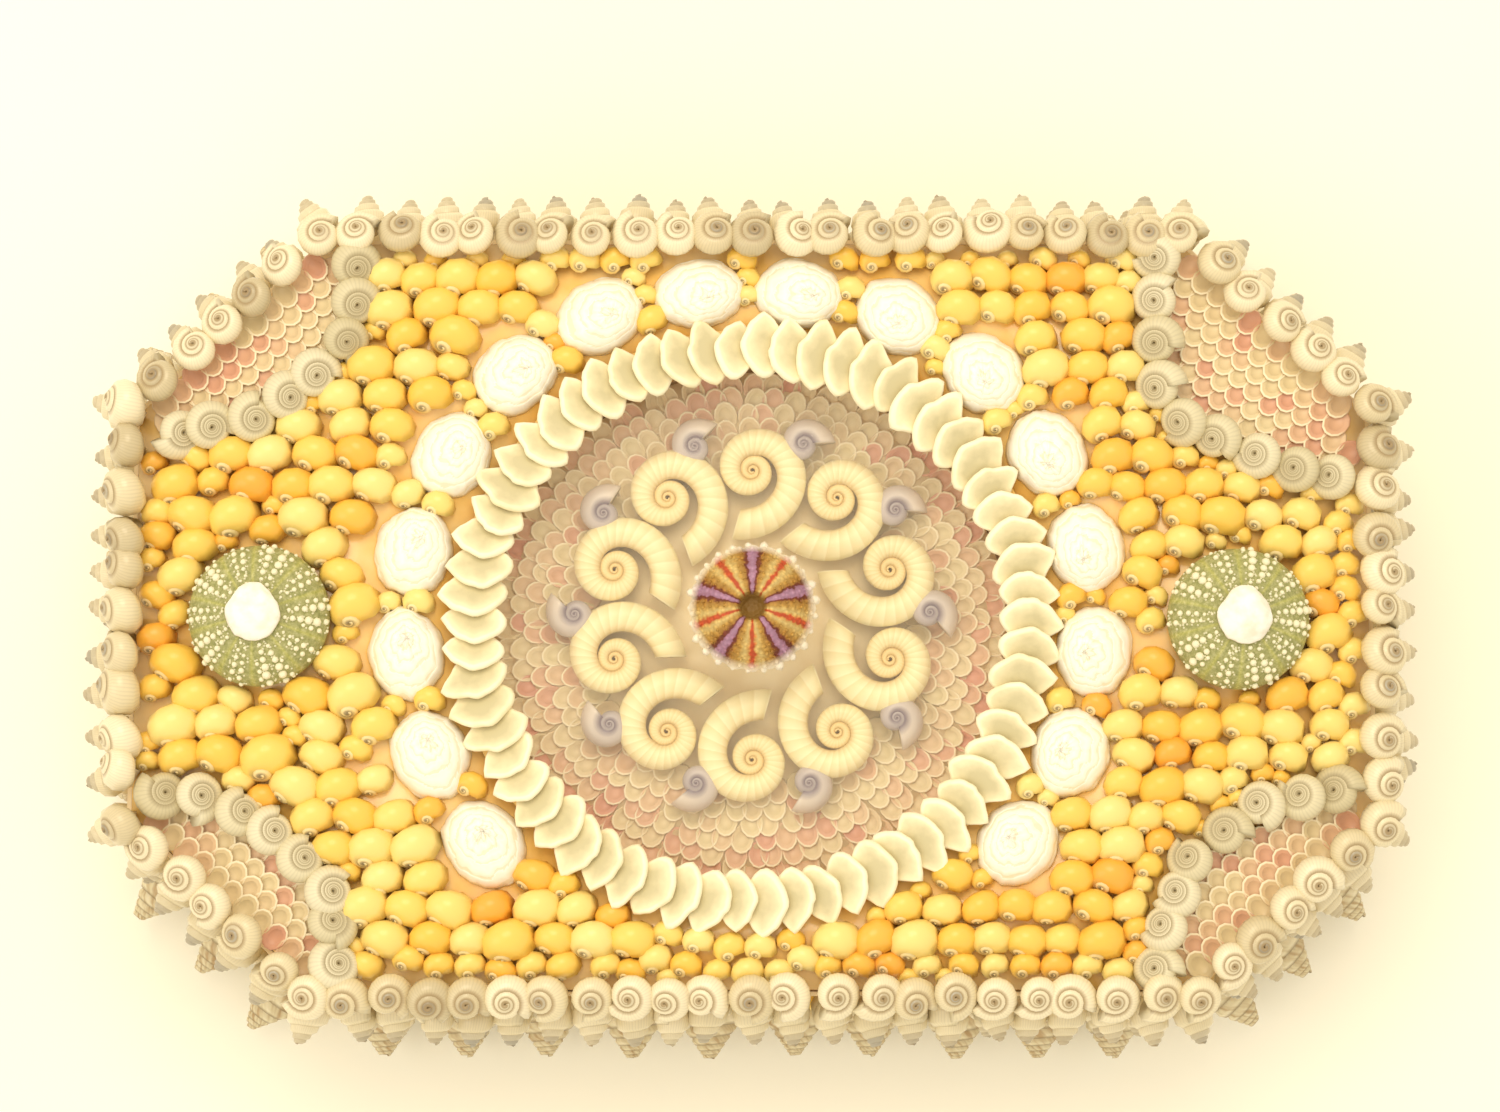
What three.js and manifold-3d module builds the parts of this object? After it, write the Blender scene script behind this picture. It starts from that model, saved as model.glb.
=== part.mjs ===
// A shellwork keepsake box: a long eight-sided wooden box with a lift-off lid, covered with seashells.
// The box lies on its base. X runs along its length, Y across it and Z up, all in millimetres.
// The origin is at the middle of the underside.

import * as THREE from 'three';
import { mergeVertices } from 'three/addons/utils/BufferGeometryUtils.js';
import Module from 'manifold-3d';

const wasm = await Module();
wasm.setup();

// Outline of the wooden box, the same for tray and lid
const HALF_LENGTH = 142.2;
const HALF_WIDTH = 86.2;
const CORNER_ALONG_LENGTH = 42.3;
const CORNER_ALONG_WIDTH = 39.9;

// Tray
const TRAY_HEIGHT = 56;
const TRAY_WALL = 6;
const TRAY_FLOOR = 6;

// Lid board, with a lip below that drops inside the tray
const LID_THICKNESS = 12;
const LIP_DEPTH = 5;
const LIP_WIDTH = 6;
const LIP_CLEARANCE = 0.6;

// Clearance that every glued or resting piece keeps to its neighbour
const GLUE_GAP = 0.3;

// How far a cutting shape reaches past what it cuts
const CUT_PAST = 1;

// Putty bed that covers the lid's top
const BED_THICKNESS = 1.5;

// Round show window in the lid
const WINDOW_CENTRE = [-0.5, -2.3];
const WINDOW_RADIUS = 61;
const WINDOW_LEDGE = 2.5;
const WINDOW_SIDES = 24;
const BACK_RADIUS = 66;
const BACK_THICKNESS = 4;
const GLASS_THICKNESS = 2.4;
const GLASS_RISE = 9.7;
const GLASS_RINGS = 2;

// Pink scale shells on the floor of the window, in rings with their free edges outwards
const SCALE_RING_COUNT = 3;
const SCALE_RING_PITCH = 4.5;
const SCALE_BED = 0.8;
const SCALE_LIFT = 0.9;

// Rosette of ram's horn shells and violet snails under the glass
const ROSETTE_CENTRE = [0, 0.2];
const SPIRULA_COUNT = 10;
const SPIRULA_CIRCLE = 33.8;
const SPIRULA_RADIUS = 16.9;
const SPIRULA_TUBE = 3.6;
const SPIRULA_TURNS = 1.6;
const SPIRULA_WHORL_RATIO = 0.365;
const SPIRULA_MOUTH_ANGLE = 254;
const SNAIL_CIRCLE = 43.2;
const SNAIL_RADIUS = 6.1;
const SNAIL_HEIGHT = 6.4;
const SNAIL_SIDES = 6;

// Sea urchin test on top of the glass, the lid's knob
const KNOB_RADIUS = 15.5;
const KNOB_HEIGHT = 12.5;
const KNOB_HOLE_RADIUS = 3.25;
const KNOB_SCALLOPS = 10;
const KNOB_SCALLOP_DEPTH = 0.6;

// Ring of leaning plates round the window
const PLATE_COUNT = 62;
const PLATE_CIRCLE = 63.8;
const PLATE_LENGTH = 15.4;
const PLATE_WIDTH = 10;
const PLATE_THICKNESS = 2.2;
const PLATE_LEAN = 24;
const PLATE_SET_IN = 0.6;
const PLATE_BED_WIDTH = 8;
const PLATE_BED_THICKNESS = 1.4;

// White pearl shells in an arc round the plates, open towards the front
const WHITE_COUNT = 16;
const WHITE_RADIUS = 10.3;
const WHITE_DEPTH = 8.4;
const WHITE_HEIGHT = 8.6;
const WHITE_SIDES = 7;
const WHITE_FIRST_ANGLE = -130;
const WHITE_ANGLE_STEP = 17.3;

// Green sea urchin tests at the two ends of the lid, each with a white limpet on top. Each sits in the middle
// between the white shells and the rim row, moved a little along the length and the width.
const GREEN_LEFT_SHIFT = [0.72, -1.1];
const GREEN_RIGHT_SHIFT = [-1.82, -1.8];
const GREEN_RADIUS = 16.4;
const GREEN_HEIGHT = 12.5;
const GREEN_TOP_RADIUS = 5;
const CAP_RADIUS = 6.2;
const CAP_HEIGHT = 3.6;
const CAP_BEAK_SHIFT = 2.2;
const CAP_SIDES = 10;

// Small pearly top shells: a row on the lid's rim and a row on its edge
const SMALL_PITCH = 9.2;
const SMALL_SIDES = 5;
const RIM_OUTSET = 1.8;
const RIM_RADIUS = 4.8;
const RIM_HEIGHT = 7.8;
const RIM_TILT = 22;
const RIM_STRIP_SPREAD = 4.7;
const RIM_STRIP_THICKNESS = 1.2;
const EDGE_RADIUS = 4.6;
const EDGE_LENGTH = 13;
const GLUE_BAND = 1;
const GLUE_BAND_MARGIN = 0.6;

// Courses of shells on the tray's side, above the foot row
const COURSE_COUNT = 3;
const COURSE_TOP_REACH = 7;
const COURSE_LOW_REACH = 4.4;

// Large striped top shells round the foot, longer ones on the slanting sides
const FOOT_PITCH = 20.6;
const FOOT_RADIUS = 9.8;
const FOOT_LENGTH = 20;
const FOOT_SLANT_PITCH = 22;
const FOOT_SLANT_RADIUS = 9.9;
const FOOT_SLANT_LENGTH = 26;
const FOOT_FLOOR_CLEARANCE = 0.8;

// Grey button shells that fence each corner panel. The row runs from the long edge round a bend to the end,
// through points given by how far they are in from the end of the box and from its long edge.
const BUTTON_RADIUS = 4.4;
const BUTTON_HEIGHT = 5.2;
const BUTTON_TILT = 30;
const CORNERS = [
  {
    name: 'back_right',
    alongX: 1,
    alongY: 1,
    fromEdges: [[47, 9.2], [45.4, 23.2], [39.2, 43.9], [24.2, 51], [7.2, 53.8]],
  },
  {
    name: 'back_left',
    alongX: -1,
    alongY: 1,
    fromEdges: [[49.7, 7.4], [47.2, 22.2], [34.7, 35.2], [8.7, 43.9]],
  },
  {
    name: 'front_left',
    alongX: -1,
    alongY: -1,
    fromEdges: [[46.3, 7.4], [44.2, 19.7], [32.7, 33.9], [7.9, 43]],
  },
  {
    name: 'front_right',
    alongX: 1,
    alongY: -1,
    fromEdges: [[48.3, 7.4], [45.7, 20.2], [33.2, 33.4], [8.4, 44]],
  },
];
const BUTTON_COUNT = 8;
const BUTTON_STRIP_STEPS = 6;

// Pink scale shells in the corner panels
const PANEL_THICKNESS = 1.8;
const PANEL_ROW_COUNT = 5;
const PANEL_ROW_LIFT = 0.8;

// Yellow periwinkles that fill the rest of the lid, in loose rows of large ones with small ones in the gaps.
// Sizes are half widths along the rows, and each shell is less deep than wide.
const YELLOW_ROW_PITCH = 6.9;
const YELLOW_ROW_WANDER = 1.2;
const YELLOW_SIZES = [4.1, 5.3];
const YELLOW_FILLERS = [[3.1, 3.6], [2.3, 2.7]];
const YELLOW_STEP = 0.8;
const YELLOW_FILLER_STEP = 1.4;
const YELLOW_FLATNESS = 0.82;
const YELLOW_CLOSENESS = 0.88;
const YELLOW_LARGEST_AT_LEFT = 1.16;
const YELLOW_SEED = 71;
const YELLOW_RISE = 0.95;
const YELLOW_LEAST_MODELLED = 5.1;

// Levels that follow from the sizes above
const LID_BOTTOM = TRAY_HEIGHT + GLUE_GAP;
const LID_TOP = LID_BOTTOM + LID_THICKNESS;
const BED_BOTTOM = LID_TOP + GLUE_GAP;
const BED_TOP = BED_BOTTOM + BED_THICKNESS;
const ON_BED = BED_TOP + GLUE_GAP;
const BACK_TOP = LID_BOTTOM - GLUE_GAP;
const SCALES_BOTTOM = BACK_TOP + GLUE_GAP;
const SCALES_TOP = SCALES_BOTTOM + SCALE_BED + SCALE_LIFT;
const GLASS_RADIUS = WINDOW_RADIUS + WINDOW_LEDGE - GLUE_GAP;
const GLASS_SEAT = GLASS_THICKNESS + 4 * GLUE_GAP;
const GLASS_BOTTOM = LID_TOP - GLASS_SEAT + GLUE_GAP;
const GLASS_TOP = GLASS_BOTTOM + GLASS_THICKNESS + GLASS_RISE;

// Line that the feet of the rim row stand on, inside the line of their middles because they lean out
const RIM_LINE = RIM_OUTSET - (RIM_HEIGHT / 2) * Math.sin(THREE.MathUtils.degToRad(RIM_TILT));
const INSIDE_RIM = RIM_LINE - RIM_STRIP_SPREAD - GLUE_GAP;

// Finishes
const FINISHES = {
  wood: { color: 0xc9a878, roughness: 0.7, metalness: 0 },
  board: { color: 0xd8bd92, roughness: 0.75, metalness: 0 },
  glass: { color: 0xf4f2e6, roughness: 0.05, metalness: 0, transparent: true, opacity: 0.25 },
  yellowShell: { color: 0xf6c544, roughness: 0.35, metalness: 0 },
  pearl: { color: 0xf3e6c4, roughness: 0.35, metalness: 0 },
  whitePearl: { color: 0xfffbef, roughness: 0.3, metalness: 0 },
  greyButton: { color: 0xddd2ae, roughness: 0.45, metalness: 0 },
  pinkScale: { color: 0xe7a58e, roughness: 0.45, metalness: 0 },
  plate: { color: 0xede2b8, roughness: 0.5, metalness: 0 },
  hornShell: { color: 0xf1e3b0, roughness: 0.5, metalness: 0 },
  violetSnail: { color: 0xd6c8bc, roughness: 0.4, metalness: 0 },
  greenUrchin: { color: 0x8e9a5a, roughness: 0.8, metalness: 0 },
  knobUrchin: { color: 0xf0e0a8, roughness: 0.7, metalness: 0 },
  stripedShell: { color: 0xd9cfae, roughness: 0.5, metalness: 0 },
};

const UP = new THREE.Vector3(0, 0, 1);
const box = new THREE.Group();

function addPiece(name, finish, geometry, place = [0, 0, 0], turn = 0) {
  const mesh = new THREE.Mesh(geometry, new THREE.MeshStandardMaterial(FINISHES[finish]));
  mesh.name = name;
  mesh.position.set(...place);
  mesh.rotation.z = turn;
  box.add(mesh);
}

// Solids and their joins and cuts

function solidOf(geometry) {
  const bare = geometry.index ? geometry.toNonIndexed() : geometry.clone();
  bare.deleteAttribute('normal');
  bare.deleteAttribute('uv');
  const merged = mergeVertices(bare, 1e-4);
  return new wasm.Manifold(new wasm.Mesh({
    numProp: 3,
    vertProperties: merged.attributes.position.array,
    triVerts: new Uint32Array(merged.index.array),
  }));
}

function geometryOf(solid) {
  const { vertProperties, triVerts } = solid.getMesh();
  const geometry = new THREE.BufferGeometry();
  geometry.setAttribute('position', new THREE.BufferAttribute(vertProperties, 3));
  geometry.setIndex(new THREE.BufferAttribute(triVerts, 1));
  return geometry;
}

// Joins by halves, so that the solids stay small for as long as they can
function fuse(geometries) {
  let solids = geometries.map(solidOf);
  while (solids.length > 1) {
    const joined = [];
    for (let i = 0; i < solids.length; i += 2) {
      joined.push(i + 1 < solids.length ? solids[i].add(solids[i + 1]) : solids[i]);
    }
    solids = joined;
  }
  return geometryOf(solids[0]);
}

function cut(geometry, ...tools) {
  return geometryOf(tools.reduce((left, tool) => left.subtract(solidOf(tool)), solidOf(geometry)));
}

function trim(geometry, room) {
  return geometryOf(solidOf(geometry).intersect(solidOf(room)));
}

// Skins a stack of rings of points, each turning anticlockwise as seen from the last ring.
// A ring of one point is a tip, and a closed stack joins its last ring to its first.
function loft(rings, closed = false) {
  const triangles = [];
  const spans = closed ? rings.length : rings.length - 1;
  for (let i = 0; i < spans; i += 1) {
    const low = rings[i];
    const high = rings[(i + 1) % rings.length];
    for (let j = 0; j < low.length; j += 1) {
      const next = (j + 1) % low.length;
      if (high.length === 1) {
        triangles.push(low[j], low[next], high[0]);
      } else {
        triangles.push(low[j], low[next], high[next], low[j], high[next], high[j]);
      }
    }
  }
  if (!closed) {
    const first = rings[0];
    const last = rings[rings.length - 1];
    for (let j = 1; j < first.length - 1; j += 1) triangles.push(first[0], first[j + 1], first[j]);
    for (let j = 1; j < last.length - 1; j += 1) triangles.push(last[0], last[j], last[j + 1]);
  }
  return new THREE.BufferGeometry().setFromPoints(triangles);
}

function ring(radius, z, sides, centre = [0, 0], start = 0) {
  if (radius === 0) return [new THREE.Vector3(centre[0], centre[1], z)];
  return Array.from({ length: sides }, (_, j) => {
    const angle = start + (2 * Math.PI * j) / sides;
    return new THREE.Vector3(
      centre[0] + radius * Math.cos(angle),
      centre[1] + radius * Math.sin(angle),
      z,
    );
  });
}

// A round body from pairs of radius and height, lowest first
function turned(levels, sides) {
  return loft(levels.map(([radius, z]) => ring(radius, z, sides)));
}

// A round body whose foot is level and whose upper part leans over, towards +X
function leaning(levels, sides, lean) {
  const across = new THREE.Vector3(0, 1, 0);
  return loft(levels.map(([radius, z], i) => {
    const points = ring(radius, z, sides, [0, 0], Math.PI / 2);
    return i === 0 ? points : points.map((point) => point.applyAxisAngle(across, lean));
  }));
}

function disc(radius, bottom, top, sides) {
  return turned([[radius, bottom], [radius, top]], sides);
}

// Stands a shape that was made on +Z at a place, along an axis
function stood(geometry, place, axis = UP, turn = 0, size = 1) {
  const about = new THREE.Quaternion().setFromAxisAngle(UP, turn);
  const lean = new THREE.Quaternion().setFromUnitVectors(UP, axis.clone().normalize());
  const matrix = new THREE.Matrix4().compose(
    place,
    lean.multiply(about),
    new THREE.Vector3(size, size, size),
  );
  return geometry.clone().applyMatrix4(matrix);
}

// The eight-sided outline

const SLANT_LENGTH = Math.hypot(CORNER_ALONG_LENGTH, CORNER_ALONG_WIDTH);
const SLANT_NORMAL = [CORNER_ALONG_WIDTH / SLANT_LENGTH, CORNER_ALONG_LENGTH / SLANT_LENGTH];
const SLANT_DISTANCE = SLANT_NORMAL[0] * (HALF_LENGTH - CORNER_ALONG_LENGTH) + SLANT_NORMAL[1] * HALF_WIDTH;

// Its corners, set out from the wooden edge, anticlockwise from the right end of the back edge
function outline(outset) {
  const x = HALF_LENGTH + outset;
  const y = HALF_WIDTH + outset;
  const slant = SLANT_DISTANCE + outset;
  const backX = (slant - SLANT_NORMAL[1] * y) / SLANT_NORMAL[0];
  const endY = (slant - SLANT_NORMAL[0] * x) / SLANT_NORMAL[1];
  return [
    [backX, y], [-backX, y], [-x, endY], [-x, -endY],
    [-backX, -y], [backX, -y], [x, -endY], [x, endY],
  ].map(([cornerX, cornerY]) => new THREE.Vector2(cornerX, cornerY));
}

function outlineAt(outset, z) {
  return outline(outset).map((corner) => new THREE.Vector3(corner.x, corner.y, z));
}

function outlineBlock(outset, bottom, top) {
  return loft([outlineAt(outset, bottom), outlineAt(outset, top)]);
}

// A moulding carried round the outline. Its profile is pairs of outset and height, lowest outer point first,
// up the outside and down the inside.
function moulding(profile) {
  return loft(profile.map(([outset, z]) => outlineAt(outset, z)), true);
}

function sides(outset) {
  const corners = outline(outset);
  return corners.map((from, i) => {
    const to = corners[(i + 1) % corners.length];
    const along = to.clone().sub(from).normalize();
    return { from, to, outwards: new THREE.Vector2(along.y, -along.x) };
  });
}

// Places evenly along each side, with one on every corner
function rowWithCorners(outset, pitch) {
  const all = sides(outset);
  const places = [];
  all.forEach(({ from, to, outwards }, i) => {
    const before = all[(i + all.length - 1) % all.length].outwards;
    const count = Math.round(from.distanceTo(to) / pitch);
    places.push({ at: from, outwards: before.clone().add(outwards).normalize() });
    for (let j = 1; j < count; j += 1) {
      places.push({ at: from.clone().lerp(to, j / count), outwards });
    }
  });
  return places;
}

// Tray: floor and walls of one thickness each, open at the top
function addTray() {
  const hollow = outlineBlock(-TRAY_WALL, TRAY_FLOOR, TRAY_HEIGHT + CUT_PAST);
  addPiece('tray', 'wood', cut(outlineBlock(0, 0, TRAY_HEIGHT), hollow));
}

// Lid board with its lip, and the stepped round window that the glass sits in
function addLidBoard() {
  const lipOuter = -TRAY_WALL - LIP_CLEARANCE;
  const lipInner = lipOuter - LIP_WIDTH;
  const lip = moulding([
    [lipOuter, LID_BOTTOM - LIP_DEPTH],
    [lipOuter, LID_BOTTOM + 1],
    [lipInner, LID_BOTTOM + 1],
    [lipInner, LID_BOTTOM - LIP_DEPTH],
  ]);
  const centre = new THREE.Vector3(...WINDOW_CENTRE, 0);
  const opening = disc(WINDOW_RADIUS, LID_BOTTOM - CUT_PAST, LID_TOP + CUT_PAST, WINDOW_SIDES);
  const ledge = disc(WINDOW_RADIUS + WINDOW_LEDGE, LID_TOP - GLASS_SEAT, LID_TOP + CUT_PAST, WINDOW_SIDES);
  const window = stood(opening, centre);
  const seat = stood(ledge, centre);
  addPiece('lid_board', 'wood', cut(fuse([outlineBlock(0, LID_BOTTOM, LID_TOP), lip]), window, seat));
}

// Thin board under the window, the floor that the rosette is laid on
function addWindowBack() {
  const back = disc(BACK_RADIUS, BACK_TOP - BACK_THICKNESS, BACK_TOP, WINDOW_SIDES);
  addPiece('window_back', 'board', back, [...WINDOW_CENTRE, 0]);
}

// Rings of scales: each ring is raised at its outer edge and lies on the ring outside it
function addWindowScales() {
  const outer = WINDOW_RADIUS - 3 * GLUE_GAP;
  const low = SCALES_BOTTOM + SCALE_BED;
  const levels = [[outer, SCALES_BOTTOM]];
  for (let i = 0; i < SCALE_RING_COUNT; i += 1) {
    const edge = outer - i * SCALE_RING_PITCH;
    levels.push([edge, low + SCALE_LIFT], [edge - SCALE_RING_PITCH, low]);
  }
  levels.push([levels[levels.length - 1][0] - 1, low + SCALE_LIFT / 2], [0, low + SCALE_LIFT / 2]);
  addPiece('window_scales', 'pinkScale', turned(levels, WINDOW_SIDES), [...WINDOW_CENTRE, 0]);
}

// Domed glass of even thickness
function glassDrop(radius) {
  return GLASS_RISE * (radius / GLASS_RADIUS) ** 2;
}

function addGlass() {
  const steps = Array.from({ length: GLASS_RINGS + 1 }, (_, i) => (GLASS_RADIUS * i) / GLASS_RINGS);
  const under = steps.map((radius) => [radius, GLASS_TOP - GLASS_THICKNESS - glassDrop(radius)]);
  const over = steps.map((radius) => [radius, GLASS_TOP - glassDrop(radius)]).reverse();
  const profile = [...under, ...over].map(([radius, z]) => new THREE.Vector2(radius, z));
  const glass = new THREE.LatheGeometry(profile, WINDOW_SIDES).rotateX(Math.PI / 2);
  addPiece('glass_dome', 'glass', glass, [...WINDOW_CENTRE, 0]);
}

// Ram's horn shell: an open flat spiral whose tube shrinks as fast as the spiral does
function spirulaReach(swept) {
  return SPIRULA_RADIUS * SPIRULA_WHORL_RATIO ** (swept / (2 * Math.PI));
}

function spirula() {
  const steps = Math.round(SPIRULA_TURNS * 7);
  const rings = [];
  for (let i = 0; i <= steps; i += 1) {
    const swept = (2 * Math.PI * SPIRULA_TURNS * i) / steps;
    const reach = spirulaReach(swept);
    const tube = SPIRULA_TUBE * (reach / SPIRULA_RADIUS);
    const angle = THREE.MathUtils.degToRad(SPIRULA_MOUTH_ANGLE) + swept;
    rings.push([0, 1, 2, 3].map((j) => {
      const turn = (2 * Math.PI * j) / 4;
      const out = reach - tube + tube * Math.cos(turn);
      const z = SPIRULA_TUBE - tube * Math.sin(turn);
      return new THREE.Vector3(out * Math.cos(angle), out * Math.sin(angle), z);
    }));
  }
  return loft(rings);
}

// Violet snail: a round low shell with its spire to one side
function violetSnail() {
  return loft([
    ring(SNAIL_RADIUS, 0, SNAIL_SIDES),
    ring(0.68 * SNAIL_RADIUS, 0.72 * SNAIL_HEIGHT, SNAIL_SIDES, [0.18 * SNAIL_RADIUS, 0]),
    ring(0, SNAIL_HEIGHT, SNAIL_SIDES, [0.35 * SNAIL_RADIUS, 0]),
  ]);
}

// The snails are cut back to the coil of the ram's horn that they are tucked against
function addRosette() {
  const level = SCALES_TOP + GLUE_GAP;
  const horn = spirula();
  const half = Math.PI / SPIRULA_COUNT;
  const aside = SPIRULA_CIRCLE * Math.sin(half);
  const behind = SPIRULA_CIRCLE * Math.cos(half) - SNAIL_CIRCLE;
  const facing = Math.atan2(-behind, aside) - half - THREE.MathUtils.degToRad(SPIRULA_MOUTH_ANGLE - 360);
  const reach = spirulaReach(facing) + GLUE_GAP;
  const neighbour = disc(reach, -CUT_PAST, SNAIL_HEIGHT + CUT_PAST, 2 * SNAIL_SIDES);
  const tucked = cut(violetSnail(), neighbour.translate(behind, aside, 0));
  for (let i = 0; i < SPIRULA_COUNT; i += 1) {
    const number = String(i + 1).padStart(2, '0');
    const hornAngle = Math.PI / 2 - (2 * Math.PI * i) / SPIRULA_COUNT;
    const snailAngle = hornAngle - Math.PI / SPIRULA_COUNT;
    const at = (circle, angle) => [
      ROSETTE_CENTRE[0] + circle * Math.cos(angle),
      ROSETTE_CENTRE[1] + circle * Math.sin(angle),
      level,
    ];
    addPiece(`spirula_${number}`, 'hornShell', horn, at(SPIRULA_CIRCLE, hornAngle), hornAngle - Math.PI / 2);
    addPiece(`violet_snail_${number}`, 'violetSnail', tucked, at(SNAIL_CIRCLE, snailAngle), snailAngle);
  }
}

// Sea urchin test: a flattened dome with a scalloped outline and a hole at the top
function addKnob() {
  const count = 2 * KNOB_SCALLOPS;
  const level = GLASS_TOP + GLUE_GAP;
  const scalloped = (radius, z) => ring(radius, z, count).map((point, j) => {
    const notch = j % 2 ? KNOB_SCALLOP_DEPTH * (radius / KNOB_RADIUS) : 0;
    const pulled = 1 - notch / radius;
    return new THREE.Vector3(point.x * pulled, point.y * pulled, point.z);
  });
  const outside = [
    [0.8 * KNOB_RADIUS, 0],
    [KNOB_RADIUS, 0.33 * KNOB_HEIGHT],
    [0.84 * KNOB_RADIUS, 0.74 * KNOB_HEIGHT],
    [KNOB_HOLE_RADIUS, KNOB_HEIGHT],
    [0.85 * KNOB_HOLE_RADIUS, 0.6 * KNOB_HEIGHT],
  ];
  const knob = loft(outside.map(([radius, z]) => scalloped(radius, level + z)));
  addPiece('urchin_knob', 'knobUrchin', knob, [...ROSETTE_CENTRE, 0]);
}

// Diamond plates leaning one on the next, set in a ring of putty
function addPlateRing() {
  const halfLength = PLATE_LENGTH / 2;
  const halfWidth = PLATE_WIDTH / 2;
  const diamond = (z) => [[halfLength, 0], [0, halfWidth], [-halfLength, 0], [0, -halfWidth]]
    .map(([x, y]) => new THREE.Vector3(x, y, z));
  const plate = loft([diamond(-PLATE_THICKNESS / 2), diamond(PLATE_THICKNESS / 2)]);
  const lean = THREE.MathUtils.degToRad(PLATE_LEAN);
  const bedTop = ON_BED + PLATE_BED_THICKNESS;
  const lowEdge = halfWidth * Math.sin(lean) + (PLATE_THICKNESS / 2) * Math.cos(lean);
  const height = bedTop - PLATE_SET_IN + lowEdge;
  const bed = cut(
    disc(PLATE_CIRCLE + PLATE_BED_WIDTH / 2, ON_BED, bedTop, WINDOW_SIDES),
    disc(PLATE_CIRCLE - PLATE_BED_WIDTH / 2, ON_BED - CUT_PAST, bedTop + CUT_PAST, WINDOW_SIDES),
  );
  const pieces = [bed];
  for (let i = 0; i < PLATE_COUNT; i += 1) {
    const angle = (2 * Math.PI * i) / PLATE_COUNT;
    pieces.push(plate.clone()
      .rotateX(lean)
      .translate(PLATE_CIRCLE, 0, height)
      .rotateZ(angle));
  }
  addPiece('plate_ring', 'plate', fuse(pieces), [...WINDOW_CENTRE, 0]);
}

// White pearl shells, low domes between the tips of the plates and the rim row. Where the rim comes close
// they are pressed narrower.
function whitePlaces() {
  const plateTips = PLATE_CIRCLE + PLATE_LENGTH / 2 + GLUE_GAP;
  const rimInside = HALF_WIDTH + INSIDE_RIM;
  return Array.from({ length: WHITE_COUNT }, (_, i) => {
    const angle = THREE.MathUtils.degToRad(90 - (WHITE_FIRST_ANGLE + i * WHITE_ANGLE_STEP));
    const toRim = (rimInside - WINDOW_CENTRE[1]) / Math.max(Math.sin(angle), 0.1);
    const depth = Math.min(WHITE_DEPTH, (toRim - plateTips) / 2);
    const circle = plateTips + depth;
    return {
      x: WINDOW_CENTRE[0] + circle * Math.cos(angle),
      y: WINDOW_CENTRE[1] + circle * Math.sin(angle),
      angle,
      depth,
    };
  });
}

function addWhiteShells() {
  const shell = loft([
    ring(WHITE_RADIUS, 0, WHITE_SIDES),
    ring(0.78 * WHITE_RADIUS, 0.66 * WHITE_HEIGHT, WHITE_SIDES),
    ring(0, WHITE_HEIGHT, WHITE_SIDES),
  ]);
  whitePlaces().forEach(({ x, y, angle, depth }, i) => {
    const pressed = shell.clone().scale(depth / WHITE_RADIUS, 1, 1);
    addPiece(`white_shell_${String(i + 1).padStart(2, '0')}`, 'whitePearl', pressed, [x, y, ON_BED], angle);
  });
}

// Green urchin tests, flat on top where the limpets sit
function greenPlaces() {
  const whiteEdge = PLATE_CIRCLE + PLATE_LENGTH / 2 + GLUE_GAP + 2 * WHITE_DEPTH;
  const between = (whiteEdge + HALF_LENGTH + INSIDE_RIM) / 2;
  const centre = WINDOW_CENTRE[0] / 2;
  return [
    { end: 'left', x: centre - between + GREEN_LEFT_SHIFT[0], y: GREEN_LEFT_SHIFT[1] },
    { end: 'right', x: centre + between + GREEN_RIGHT_SHIFT[0], y: GREEN_RIGHT_SHIFT[1] },
  ];
}

function addGreenUrchins() {
  const test = turned([
    [0.82 * GREEN_RADIUS, 0],
    [GREEN_RADIUS, 0.32 * GREEN_HEIGHT],
    [0.8 * GREEN_RADIUS, 0.76 * GREEN_HEIGHT],
    [GREEN_TOP_RADIUS, GREEN_HEIGHT],
  ], 16);
  const cap = loft([
    ring(CAP_RADIUS, 0, CAP_SIDES),
    ring(0.72 * CAP_RADIUS, 0.6 * CAP_HEIGHT, CAP_SIDES, [0, 0.4 * CAP_BEAK_SHIFT]),
    ring(0, CAP_HEIGHT, CAP_SIDES, [0, CAP_BEAK_SHIFT]),
  ]);
  greenPlaces().forEach(({ end, x, y }) => {
    addPiece(`green_urchin_${end}`, 'greenUrchin', test, [x, y, ON_BED]);
    addPiece(`limpet_${end}`, 'whitePearl', cap, [x, y, ON_BED + GREEN_HEIGHT + GLUE_GAP]);
  });
}

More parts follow.
